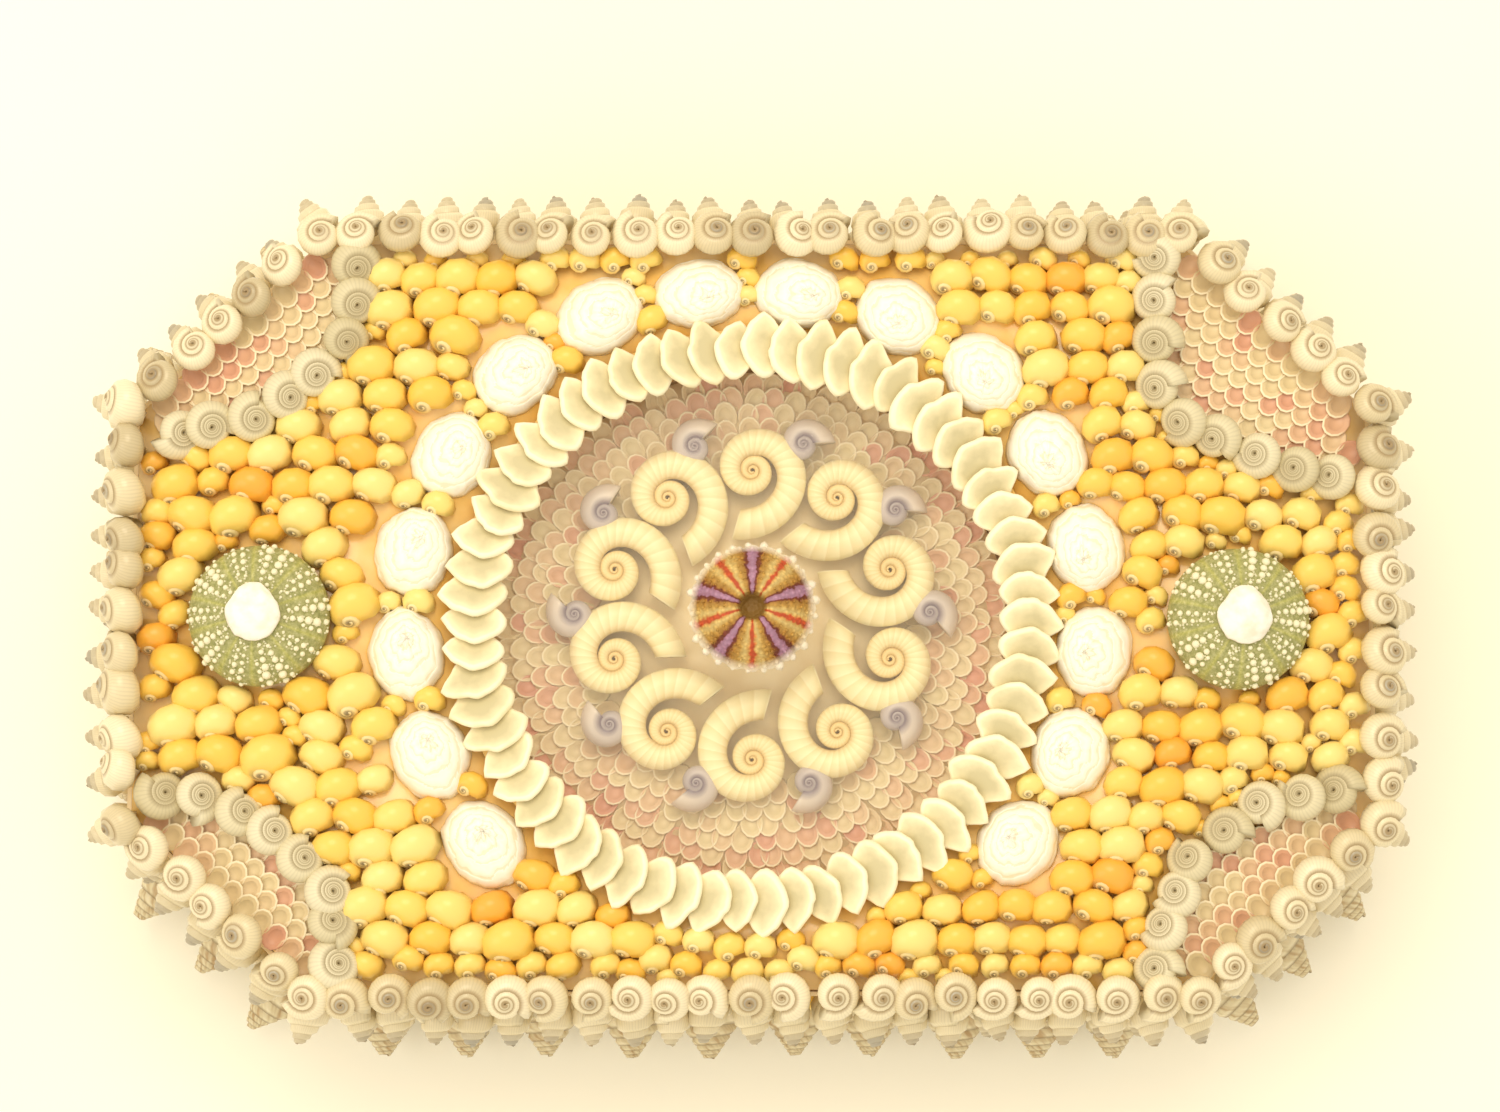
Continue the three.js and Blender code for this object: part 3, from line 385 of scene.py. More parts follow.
# Violet snail shell, thin and smooth: lilac grey body, darker seam, cream towards the mouth
snail_violet, tree, shader = start_material("lilac_snail_shell", Roughness=0.35, Coat_Weight=0.2)
whorl, around = [add_node(tree, "Attribute", attribute_name=name) for name in COIL_VALUES[:2]]
body = add_node(
    tree, "ValToRGB", {0: whorl}, [(0.0, "#DCCDBC"), (0.2, "#CCBEB2"), (0.6, "#BCAEA8"), (1.0, "#A29594")]
)
seam = add_node(tree, "ValToRGB", {0: around}, [(0.22, 0.0), (0.3, 1.0)])
dark = add_node(tree, "Mix", {0: seam, 6: body, 7: linear("#74626C")})
paint(tree, shader, dark)

bm = coil(whorls=2.8, steps=30, sides=14, growth=2.7, reach=0.5, drop=0.46, wide=0.54, tall=0.48)
snail_template = as_template("violet_snail", fitted(bm, SNAIL_WIDTH, SNAIL_HEIGHT), "tint")
for i in range(HORN_COUNT):
    angle = math.pi / 2 - math.tau * (i + 0.5) / HORN_COUNT
    place = (
        Matrix.Translation(ROSETTE + Vector((0, 0, ROSETTE_LEVEL)))
        @ turn(angle, "Z")
        @ Matrix.Translation((SNAIL_CIRCLE, 0, 0))
        @ turn(-1.0 + 0.5 * sway(), "Z")
    )
    bm = bmesh.new()
    stamp(bm, snail_template, place, tint=dice.random())
    number = f"{i + 1:02d}"
    finish_piece(f"violet_snail_shell_{number}", bm, snail_violet, "violet_snail", f"violet_snail_{number}")

# ---- Sea urchin knob
# A small sea urchin test glued to the middle of the glass, the knob of the lid. It has five violet wedges
# with dark edges, five ochre fields with an orange middle, a knobbly white rim and a hole at the top.
KNOB_RADIUS = 15.5
KNOB_BASE = 77.4
# The radius, height, count and size of each ring of knobs at the rim
RIM_KNOBS = ((13.6, 4.0, 25, 1.25), (13.0, 6.2, 30, 0.85), (12.2, 8.0, 30, 0.55))

# Urchin test, porous lime: fields set by angle round the hole
knob_test, tree, shader = start_material("painted_urchin_test", Roughness=0.6)
place = add_node(tree, "TexCoord")
centred = add_node(tree, "Mapping", {0: place, 1: (-ROSETTE.x / 1000, -ROSETTE.y / 1000, 0)})
split = add_node(tree, "SeparateXYZ", {0: centred})
angle = add_node(tree, "Math", {0: split.outputs["X"], 1: split.outputs["Y"]}, operation="ARCTAN2")
fifth = add_node(tree, "Math", {0: angle, 1: 5 / math.tau}, operation="MULTIPLY")
folded = add_node(tree, "Math", {0: fifth, 1: 0.5}, operation="PINGPONG")
flat = add_node(tree, "CombineXYZ", {0: split.outputs["X"], 1: split.outputs["Y"]})
radius = add_node(tree, "VectorMath", {0: flat}, operation="LENGTH")
fine = add_node(tree, "TexNoise", {0: place, "Scale": 700.0, "Detail": 2.0})
grit = add_node(tree, "TexVoronoi", {"Vector": place, "Scale": 1000.0})
jagged = add_node(tree, "Math", {0: fine, 1: 0.16, 2: -0.08}, operation="MULTIPLY_ADD")
wander = add_node(tree, "Math", {0: folded, 1: jagged}, operation="ADD")
fields = add_node(
    tree,
    "ValToRGB",
    {0: wander},
    [
        (0.0, "#BC8EAA"),
        (0.07, "#AC7892"),
        (0.09, "#742E1E"),
        (0.125, "#7E3A1C"),
        (0.16, "#B58030"),
        (0.27, "#C99C48"),
        (0.38, "#E4C67C"),
        (0.43, "#DFAE5E"),
        (0.47, "#CC5222"),
    ],
)
gritty = add_node(tree, "ValToRGB", {0: grit.outputs["Distance"]}, [(0.1, 1.0), (0.6, 0.72)])
fields = add_node(tree, "Mix", {0: 1.0, 6: fields, 7: gritty}, blend_type="MULTIPLY")
outer = add_node(tree, "MapRange", {0: radius.outputs["Value"], 1: 0.0124, 2: 0.0142, 3: 0.0, 4: 0.9})
pale = add_node(tree, "Mix", {0: outer, 6: fields, 7: linear("#FBF2DC")})
inner = add_node(tree, "MapRange", {0: radius.outputs["Value"], 1: 0.0034, 2: 0.0026, 3: 0.0, 4: 1.0})
holed = add_node(tree, "Mix", {0: inner, 6: pale, 7: linear("#8C6A2E")})
relief = add_node(tree, "Bump", {"Strength": 0.6, "Distance": -0.0005, "Height": grit.outputs["Distance"]})
paint(tree, shader, holed, relief)

bm = bmesh.new()
bmesh.ops.create_uvsphere(bm, u_segments=8, v_segments=4, radius=1.0)
bead_template = as_template("bead", bm, "tint", "kind")
levels = [(0, 7.6), (2.2, 8.2), (3.0, 10.4), (3.4, 11.8), (4.2, 12.3), (5.6, 12.2), (7.4, 11.6), (9.2, 10.7)]
levels += [(10.8, 9.5), (12.2, 8.0), (13.4, 6.2), (14.1, 4.5), (14.2, 3.0), (13.6, 1.4), (12.4, 0.0), (0, 0)]
bm = turned(levels, 120)
for vert in bm.verts:
    lobe = math.cos(20 * math.atan2(vert.co.x, vert.co.y))
    vert.co.xy *= 1 + 0.025 * lobe * (vert.co.xy.length / KNOB_RADIUS) ** 2
for ring_radius, ring_height, count, size in RIM_KNOBS:
    for i in range(count):
        angle = math.tau * (i + 0.5) / count
        spot = Vector((ring_radius * math.cos(angle), ring_radius * math.sin(angle), ring_height))
        long = turn(angle, "Z") @ Matrix.Diagonal((1.5, 0.95, 1.1, 1))
        place = Matrix.Translation(spot) @ long @ Matrix.Scale(size * dice.uniform(0.6, 1.1), 4)
        stamp(bm, bead_template, place)
for ring_radius, ring_height in ((11.0, 9.4), (9.4, 10.5), (7.8, 11.4), (6.3, 12.0)):
    for i in range(5):
        for side in (-0.165, 0.165, -0.26, 0.26):
            angle = math.pi / 2 + math.tau * (i + side) / 5
            spot = Vector((ring_radius * math.cos(angle), ring_radius * math.sin(angle), ring_height))
            stamp(bm, bead_template, Matrix.Translation(spot) @ Matrix.Scale(0.045 * ring_radius, 4))
bmesh.ops.translate(bm, verts=bm.verts, vec=ROSETTE + Vector((0, 0, KNOB_BASE)))
finish_piece("urchin_knob_test", bm, knob_test, "knob_urchin", "urchin_knob")

# ---- Ring of plates
# Sixty-two thick shell plates set in putty round the window, each leaning on the next like fallen
# dominoes. They are cream with a grey translucent middle and thick pale edges.
PLATE_COUNT = 62
PLATE_CIRCLE = 63.8
PLATE_LENGTH = 15.4
PLATE_WIDTH = 11.0
PLATE_THICKNESS = 2.0
PLATE_LEAN = math.radians(23)
ON_BED = 70.4


def plate_shell(seed):
    bm = bmesh.new()
    edge = bm.verts.layers.float.new("edge")
    ring = bmesh.ops.create_circle(bm, segments=32, radius=1.0)["verts"]
    for vert in ring:
        x, y = vert.co.x, vert.co.y
        power = 1.3 if x > 0 else 1.75
        reach = (abs(2 * x / PLATE_LENGTH) ** power + abs(2 * y / PLATE_WIDTH) ** power) ** (-1 / power)
        vert.co.xy = Vector((x, y)) * reach * (1 + 0.13 * noise.noise(Vector((1.9 * x, 1.9 * y, seed))))
        vert[edge] = 1.0
    first = list(bm.edges)
    for direction in (1, -1):
        edges = first
        for size, height, shade in (
            (0.97, 0.32, 1.0),
            (0.92, 0.5, 0.95),
            (0.9, 0.48, 0.6),
            (0.72, 0.42, 0.25),
            (0.5, 0.4, 0.0),
        ):
            edges, verts = grow(bm, edges)
            for vert in verts:
                vert.co.xy *= size
                vert.co.z = direction * height * PLATE_THICKNESS
                vert[edge] = shade
        bmesh.ops.holes_fill(bm, edges=edges, sides=0)
    for vert in bm.verts:
        vert.co.z -= 0.008 * vert.co.x**2
    bmesh.ops.recalc_face_normals(bm, faces=bm.faces)
    return as_template("plate_shell", bm, "tint")


# Thick lime plates, matt: grey where the light passes through, cream at the rolled edges
plate_cream, tree, shader = start_material("cream_shell_plate", Roughness=0.5)
edge = add_node(tree, "Attribute", attribute_name="edge")
tint = add_node(tree, "Attribute", attribute_name="tint")
place = add_node(tree, "TexCoord")
cloud = add_node(tree, "TexNoise", {0: place, "Scale": 240.0, "Detail": 3.0})
paleness = add_node(tree, "Math", {0: tint, 1: 0.3, 2: -0.6}, operation="MULTIPLY_ADD")
uneven = add_node(tree, "Math", {0: cloud, 1: 0.9, 2: paleness}, operation="MULTIPLY_ADD")
level = add_node(tree, "Math", {0: edge, 1: uneven}, operation="ADD")
tone = add_node(
    tree, "ValToRGB", {0: level}, [(0.0, "#CFC49A"), (0.3, "#E2D6AC"), (0.75, "#F8EDC4"), (1.0, "#FFF7D8")]
)
paint(tree, shader, tone)

plates = [plate_shell(seed) for seed in (2.5, 8.1, 14.7, 21.3)]
bm = bmesh.new()
height = ON_BED + 0.8 + PLATE_WIDTH / 2 * math.sin(PLATE_LEAN) + PLATE_THICKNESS / 2 * math.cos(PLATE_LEAN)
for i in range(PLATE_COUNT):
    place = (
        Matrix.Translation(WINDOW)
        @ turn(math.tau * i / PLATE_COUNT, "Z")
        @ Matrix.Translation((PLATE_CIRCLE + 0.7 * sway(), 0, height))
        @ turn(PLATE_LEAN + 0.06 * sway(), "X")
        @ turn(0.1 * sway(), "Y")
        @ turn(0.26 * sway(), "Z")
        @ Matrix.Scale(dice.uniform(0.92, 1.05), 4)
    )
    stamp(bm, plates[dice.randrange(4)], place, tint=dice.random())
finish_piece("leaning_plates", bm, plate_cream, "plate", "plate_ring")

# Amber glue that the plates stand in. Its colour is lighter than the glue's own amber, a painted glow of
# light passing through the translucent glue
amber_glue_painted_glow, tree, shader = start_material("amber_glue_painted_glow", Roughness=0.25, Coat_Weight=0.3)
place = add_node(tree, "TexCoord")
cloud = add_node(tree, "TexNoise", {0: place, "Scale": 90.0, "Detail": 3.0})
# Painted glow: both amber tones are lightened to stand for light shining through the glue
tone = add_node(tree, "ValToRGB", {0: cloud}, [(0.35, "#F8C86C"), (0.65, "#FFDC98")])
paint(tree, shader, tone)
bm = turned([(59.8, ON_BED), (68.0, ON_BED), (68.0, ON_BED + 1.4), (59.8, ON_BED + 1.4), (59.8, ON_BED)], 96)
bmesh.ops.translate(bm, verts=bm.verts, vec=WINDOW)
finish_piece("plate_ring_glue", bm, amber_glue_painted_glow, "plate")

# ---- White pearl shells
# Sixteen round wrinkled shells of bright mother-of-pearl in an arc round the plates, open towards the front.
# Their growth ridges run round a low apex that sits to one side.
WHITE_COUNT = 16
WHITE_RADIUS = 10.3
WHITE_DEPTH = 8.4
WHITE_HEIGHT = 8.6
WHITE_START = -130.0
WHITE_STEP = 17.3
HALF_WIDTH = 86.2
RIM_LINE = 1.8 - 3.9 * math.sin(math.radians(22))
RIM_INSIDE = HALF_WIDTH + RIM_LINE - 5.0


def pearl_shell(seed):
    bm = bmesh.new()
    growth = bm.verts.layers.float.new("growth")
    bmesh.ops.create_circle(bm, segments=64, radius=1.0)
    edges = list(bm.edges)
    levels = 40
    for i in range(levels):
        share = 1 - (i + 1) / (levels + 1)
        edges, verts = grow(bm, edges)
        for vert in verts:
            vert.co.xy = vert.co.xy.normalized() * share
    bmesh.ops.holes_fill(bm, edges=bm.edges, sides=0)
    for vert in bm.verts:
        share = vert.co.xy.length
        angle = math.atan2(vert.co.y, vert.co.x)
        about = Vector((1.6 * math.cos(angle), 1.6 * math.sin(angle), seed))
        wander = 0.5 * noise.noise(1.5 * about + Vector((0, 0, 4 * share)))
        line = 5 * (share + 0.08 * noise.noise(about)) + wander
        step = line - math.floor(line)
        vert[growth] = step
        wide = share * (1 + 0.06 * noise.noise(about) + 0.05 * noise.noise(3 * about))
        vert.co.x = wide * math.cos(angle) - 0.28 * (1 - share)
        vert.co.y = wide * math.sin(angle) - 0.22 * (1 - share)
        dome = max(0, 1 - share**2.3) ** 0.62 * (1 + 0.07 * noise.noise(4 * about))
        vert.co.z = dome - 0.045 * share * step
    bmesh.ops.recalc_face_normals(bm, faces=bm.faces)
    return as_template("pearl_shell", bm, "tint")


# Mother-of-pearl, worn bright: white with cream in the hollows between the ridges
white_pearl, tree, shader = start_material("white_mother_of_pearl", Roughness=0.35, Coat_Weight=0.3)
growth = add_node(tree, "Attribute", attribute_name="growth")
place = add_node(tree, "TexCoord")
fine = add_node(tree, "TexNoise", {0: place, "Scale": 420.0, "Detail": 4.0})
worn = add_node(tree, "Math", {0: fine, 1: 0.5, 2: growth}, operation="MULTIPLY_ADD")
tone = add_node(
    tree, "ValToRGB", {0: worn}, [(0.2, "#FAF2DE"), (0.6, "#FFFDF2"), (1.05, "#FCF4E0"), (1.4, "#F4E8CC")]
)
relief = add_node(tree, "Bump", {"Strength": 0.35, "Distance": 0.0004, "Height": fine})
paint(tree, shader, tone, relief)

white_places = []
for i in range(WHITE_COUNT):
    angle = math.radians(90 - (WHITE_START + i * WHITE_STEP))
    tips = PLATE_CIRCLE + PLATE_LENGTH / 2 + 0.3
    to_rim = (RIM_INSIDE - WINDOW.y) / max(math.sin(angle), 0.1)
    depth = min(WHITE_DEPTH, (to_rim - tips) / 2)
    outwards = Vector((math.cos(angle), math.sin(angle), 0))
    white_places.append((WINDOW + outwards * (tips + depth), angle, depth))
for i, (spot, angle, depth) in enumerate(white_places):
    bm = bmesh.new()
    high = WHITE_HEIGHT * dice.uniform(0.85, 0.95)
    place = (
        Matrix.Translation(spot + Vector((-math.cos(angle), -math.sin(angle), ON_BED)))
        @ turn(angle, "Z")
        @ Matrix.Diagonal((min(9.0, depth + 1.8), 1.03 * WHITE_RADIUS, high, 1))
        @ turn(dice.uniform(-0.5, 0.5), "Z")
    )
    stamp(bm, pearl_shell(i * 3.1), place, tint=dice.random())
    finish_piece(f"white_pearl_shell_{i + 1:02d}", bm, white_pearl, "white_shell", f"white_shell_{i + 1:02d}")

# ---- Green sea urchins with their limpets
# Two green urchin tests at the ends of the lid, studded with rows of white beads that grow towards the rim,
# each with a white limpet glued over the hole at its top.
GREEN_PLACES = (Vector((-112.6, -1.1, 0)), Vector((111, -1.8, 0)))
GREEN_RADIUS = 16.4
GREEN_HEIGHT = 12.5
LIMPET_RADIUS = 6.2

# Urchin test, sage green lime with pale beads
green_test, tree, shader = start_material("sage_urchin_test", Roughness=0.65)
kind = add_node(tree, "Attribute", attribute_name="kind")
place = add_node(tree, "TexCoord")
fine = add_node(tree, "TexNoise", {0: place, "Scale": 1100.0, "Detail": 3.0, "Roughness": 0.7})
band = add_node(tree, "Attribute", attribute_name="band")
skin = add_node(tree, "ValToRGB", {0: fine}, [(0.3, "#82844C"), (0.5, "#9E9D64"), (0.7, "#B9B684")])
pores = add_node(tree, "ValToRGB", {0: fine}, [(0.3, "#9A9A48"), (0.5, "#B7B463"), (0.7, "#D0CA8E")])
banded = add_node(tree, "Mix", {0: band, 6: skin, 7: pores})
beads = add_node(tree, "Mix", {0: kind, 6: banded, 7: linear("#F0EBCB")})
relief = add_node(tree, "Bump", {"Strength": 0.7, "Distance": 0.0004, "Height": fine})
paint(tree, shader, beads, relief)

# Limpet, chalky white
chalk_limpet, tree, shader = start_material("chalky_limpet", Roughness=0.6)
place = add_node(tree, "TexCoord")
fine = add_node(tree, "TexNoise", {0: place, "Scale": 300.0, "Detail": 4.0})
tone = add_node(tree, "ValToRGB", {0: fine}, [(0.3, "#F0E6D2"), (0.6, "#FFFCF4")])
relief = add_node(tree, "Bump", {"Strength": 0.3, "Distance": 0.0003, "Height": fine})
paint(tree, shader, tone, relief)


def urchin_height(out):
    return GREEN_HEIGHT * (0.34 + 0.64 * math.sqrt(max(0, 1 - out**2.3)))


def put(bm, out, degrees, size, kind):
    angle = math.radians(degrees + dice.uniform(-0.8, 0.8))
    reach = 0.985 * GREEN_RADIUS * min(out, 0.99)
    spot = (reach * math.cos(angle), reach * math.sin(angle), urchin_height(min(out, 0.99)))
    place = Matrix.Translation(spot) @ Matrix.Scale(size * dice.uniform(0.88, 1.06), 4)
    stamp(bm, bead_template, place, kind=kind)


for end, spot in zip(("left", "right"), GREEN_PLACES):
    shares = [math.sin(math.pi / 2 * i / 18) for i in range(19)]
    levels = [(0.985 * GREEN_RADIUS * out, urchin_height(out)) for out in shares]
    for out, high in ((0.97, 0.2), (0.88, 0.05), (0.8, 0), (0, 0)):
        levels.append((out * GREEN_RADIUS, high * GREEN_HEIGHT))
    bm = turned(levels, 120)
    band = bm.verts.layers.float.new("band")
    for vert in bm.verts:
        fold = abs((math.degrees(math.atan2(vert.co.y, vert.co.x)) + 36) % 72 - 36)
        vert[band] = max(0, 1 - abs(fold - 20.5) / 3.5)
    body = as_template("urchin_body", bm, "tint", "kind")
    bm = bmesh.new()
    stamp(bm, body, Matrix.Identity(4), tint=0.0, kind=0.0)
    for segment in range(10):
        wide = segment % 2 == 0
        middle = 36 * segment
        for column in (-1, 1):
            for i in range(6):
                out = 0.44 + 0.105 * (i + 0.5 * (column > 0))
                size = (0.56, 0.7, 0.86, 1.0, 1.04, 0.85)[i] * (1 if wide else 0.7)
                put(bm, out, middle + column * (6.5 if wide else 4.2), size, 1.0)
                if wide and i > 1:
                    put(bm, out + 0.05, middle + 13.5 * column, 0.62 * size, 1.0)
                for _ in range(3):
                    spread = sway() * (16 if wide else 11)
                    put(bm, out + 0.05 * sway(), middle + spread, 0.3, 0.7)
    bmesh.ops.translate(bm, verts=bm.verts, vec=spot + Vector((0, 0, ON_BED)))
    finish_piece(f"green_urchin_test_{end}", bm, green_test, "green_urchin", f"green_urchin_{end}")

    levels = []
    for i in range(11):
        angle = math.pi / 2 * i / 10
        levels.append((LIMPET_RADIUS * math.sin(angle), 3.5 * math.cos(angle) ** 1.2 + 0.1))
    bm = turned(levels + [(5.9, 0), (0, 0)], 48)
    for vert in bm.verts:
        high = vert.co.z / 3.6
        beak = max(0, vert.co.y / LIMPET_RADIUS) ** 2
        vert.co.x *= 1 - 0.3 * beak
        vert.co.y += 1.4 * high + 0.9 * beak
        vert.co.xy *= 1 + 0.07 * noise.noise(Vector((vert.co.x * 0.5, vert.co.y * 0.5, high * 3)))
    bmesh.ops.translate(bm, verts=bm.verts, vec=spot + Vector((0, 0, ON_BED + GREEN_HEIGHT + 0.3)))
    finish_piece(f"limpet_shell_{end}", bm, chalk_limpet, "white_shell", f"limpet_{end}")

# ---- Top shells on the rim and on the edge of the lid
# Small pearly top shells, glued side by side: one row stands on the rim of the lid and leans a little
# outwards, and a second row points straight out from the edge below it. At the left end the shells of the
# rim are longer and tipped onto their sides.
HALF_LENGTH = 142.2
CORNER_ALONG_LENGTH = 42.3
CORNER_ALONG_WIDTH = 39.9
SLANT = Vector((CORNER_ALONG_WIDTH, CORNER_ALONG_LENGTH)).normalized()
SLANT_DISTANCE = SLANT.x * (HALF_LENGTH - CORNER_ALONG_LENGTH) + SLANT.y * HALF_WIDTH
TOP_PITCH = 9.2
LEFT_SHIFT = 3.2
LEFT_LIFT = 1.6
RIM_SHELL = (12.2, 8.4)
EDGE_SHELL = (10.8, 13.0)
RIM_BASE = ON_BED + 0.6
EDGE_LEVEL = 62.3


def outline(outset):
    x, y, slant = HALF_LENGTH + outset, HALF_WIDTH + outset, SLANT_DISTANCE + outset
    back_x = (slant - SLANT.y * y) / SLANT.x
    end_y = (slant - SLANT.x * x) / SLANT.y
    half = [Vector(corner) for corner in ((back_x, y), (-back_x, y), (-x, end_y), (-x, -end_y))]
    return half + [-corner for corner in half]


def sides(outset):
    corners = outline(outset)
    found = []
    for start, end in zip(corners, corners[1:] + corners[:1]):
        along = (end - start).normalized()
        found.append((start, end, Vector((along.y, -along.x))))
    return found


def row_with_corners(outset, pitch):
    places = []
    found = sides(outset)
    for i, (start, end, outwards) in enumerate(found):
        count = round((end - start).length / pitch)
        both = (found[i - 1][2] + outwards).normalized()
        places.append((start, math.atan2(both.y, both.x)))
        places += [(start.lerp(end, j / count), math.atan2(outwards.y, outwards.x)) for j in range(1, count)]
    return places


def lined(tree, whorl, colour, count):
    lines = add_node(tree, "Math", {0: whorl, 1: count}, operation="MULTIPLY")
    line = add_node(tree, "Math", {0: lines, 1: 0.5}, operation="PINGPONG")
    shade = add_node(tree, "ValToRGB", {0: line}, [(0.0, 0.9), (0.3, 1.0)])
    return add_node(tree, "Mix", {0: 1.0, 6: colour, 7: shade}, blend_type="MULTIPLY")


# Top shell, pearly: cream to grey with fine growth lines, a brown seam and a grey or brown tip
pearly_top, tree, shader = start_material("pearly_top_shell", Roughness=0.33, Coat_Weight=0.25)
whorl, around, tint = [add_node(tree, "Attribute", attribute_name=name) for name in COIL_VALUES]
body = add_node(
    tree, "ValToRGB", {0: tint}, [(0.0, "#F1E4C2"), (0.4, "#E8DAB4"), (0.75, "#DCCCA4"), (1.0, "#C8B892")]
)
worn = add_node(tree, "MapRange", {0: whorl, 1: 1.2, 2: 2.6, 3: 0.0, 4: 0.85})
tips = add_node(
    tree, "ValToRGB", {0: tint}, [(0.0, "#D6C9A6"), (0.35, "#B5A688"), (0.6, "#A09A8C"), (1.0, "#847258")]
)
tipped = add_node(tree, "Mix", {0: worn, 6: body, 7: tips})
seam = add_node(tree, "ValToRGB", {0: around}, [(0.19, 0.0), (0.24, 0.85)])
seamed = add_node(tree, "Mix", {0: seam, 6: tipped, 7: linear("#A38A60")})
paint(tree, shader, lined(tree, whorl, seamed, 40.0))

bm = coil(whorls=3.2, steps=16, sides=9, growth=1.8, reach=0.5, drop=0.74, wide=0.52, tall=0.5)
rim_template = as_template("rim_top_shell", fitted(bm, *RIM_SHELL), "tint")
bm = coil(whorls=3.8, steps=10, sides=7, growth=1.5, reach=0.56, drop=1.35, wide=0.46, tall=0.55)
edge_template = as_template("edge_top_shell", fitted(bm, *EDGE_SHELL), "tint")
bm = bmesh.new()
for spot, angle in row_with_corners(RIM_LINE, TOP_PITCH):
    left = math.cos(angle) < -0.9
    place = (
        Matrix.Translation((spot.x + left * LEFT_SHIFT, spot.y, RIM_BASE + left * LEFT_LIFT))
        @ turn(angle, "Z")
        @ turn(math.radians((60 if left else 18) + 8 * sway()), "Y")
        @ turn(dice.uniform(-0.25, 0.25), "X")
        @ turn(dice.uniform(-1.2, 1.2), "Z")
        @ Matrix.Diagonal((1, 1, 1 + 0.25 * left, 1))
        @ Matrix.Scale(dice.uniform(0.94, 1.04), 4)
    )
    stamp(bm, rim_template, place, tint=dice.random() ** 1.6)
finish_piece("rim_top_shells", bm, pearly_top, "pearl_shell", "rim_row")

bm = bmesh.new()
for spot, angle in row_with_corners(0.3, TOP_PITCH):
    place = (
        Matrix.Translation((spot.x, spot.y, EDGE_LEVEL + 0.8 * sway()))
        @ turn(angle + 0.15 * sway(), "Z")
        @ turn(math.pi / 2 + 0.12 * sway(), "Y")
        @ turn(dice.uniform(0, math.tau), "Z")
        @ Matrix.Scale(dice.uniform(0.9, 1.02), 4)
    )
    stamp(bm, edge_template, place, tint=0.1 + 0.5 * dice.random())
finish_piece("edge_top_shells", bm, pearly_top, "pearl_shell", "lid_edge_row")

# ---- Button shells and pink scales in the corners
# In each corner a row of grey flat-topped button shells fences off a panel of the same pink scales as in the
# window. The buttons are tipped so that their spiral faces look to the middle of the lid.
BUTTON_SHELL = (12.2, 7.0)
BUTTON_CLEARANCE = 3.0
CORNER_ROWS = 14
CORNER_ROW_PITCH = 3.5
HALF_COLUMNS = 18
SCALE_MARGIN = 4.0
CORNERS = {
    "back_left": [
        (-92.4, 81.6), (-92.4, 72.9), (-94.9, 63.4), (-101.4, 55.9), (-108.3, 50.6), (-116.3, 45.7),
        (-125.5, 43.2), (-134, 40.9),
    ],
    "back_right": [
        (94.5, 83.2), (94.5, 73.6), (94.9, 63.7), (96.1, 53.3), (100.7, 44.1), (108.7, 40.7), (117.2, 36.1),
        (126, 33.3), (134.7, 31.5),
    ],
    "front_left": [
        (-136.1, -42.1), (-127.4, -43.2), (-118.4, -46), (-110.8, -50.1), (-103.9, -56.6), (-97, -63.9),
        (-95.9, -72), (-95.9, -80.5),
    ],
    "front_right": [
        (135.2, -40.9), (126, -42.5), (117.2, -45.1), (109.4, -50.6), (100.7, -57), (97.2, -65.1),
        (94.5, -73.1), (93.3, -81.8),
    ],
}


def signs(name):
    return (1 if name.endswith("right") else -1), (1 if name.startswith("back") else -1)


def in_corner(x, y):
    for name, spots in CORNERS.items():
        across, up = signs(name)
        line = [(across * px, up * py) for px, py in spots]
        if line[0][0] > line[-1][0]:
            line.reverse()
        area = [(line[0][0], 160)] + line + [(160, line[-1][1]), (160, 160)]
        inside = False
        for (x1, y1), (x2, y2) in zip(area, area[1:] + area[:1]):
            if (y1 > y * up) != (y2 > y * up) and x * across < x1 + (y * up - y1) / (y2 - y1) * (x2 - x1):
                inside = not inside
        if inside:
            return True
    return False


# Button shell, grey beige: fine growth lines across the coil and a dark pinhole at its middle
grey_button, tree, shader = start_material("grey_button_shell", Roughness=0.45)
whorl, around, tint = [add_node(tree, "Attribute", attribute_name=name) for name in COIL_VALUES]
body = add_node(tree, "ValToRGB", {0: tint}, [(0.0, "#E6DCBC"), (0.5, "#DDD2AE"), (1.0, "#CBBE97")])
seam = add_node(tree, "ValToRGB", {0: around}, [(0.2, 0.0), (0.275, 0.9)])
seamed = add_node(tree, "Mix", {0: seam, 6: body, 7: linear("#9F8F6A")})
paint(tree, shader, lined(tree, whorl, seamed, 34.0))

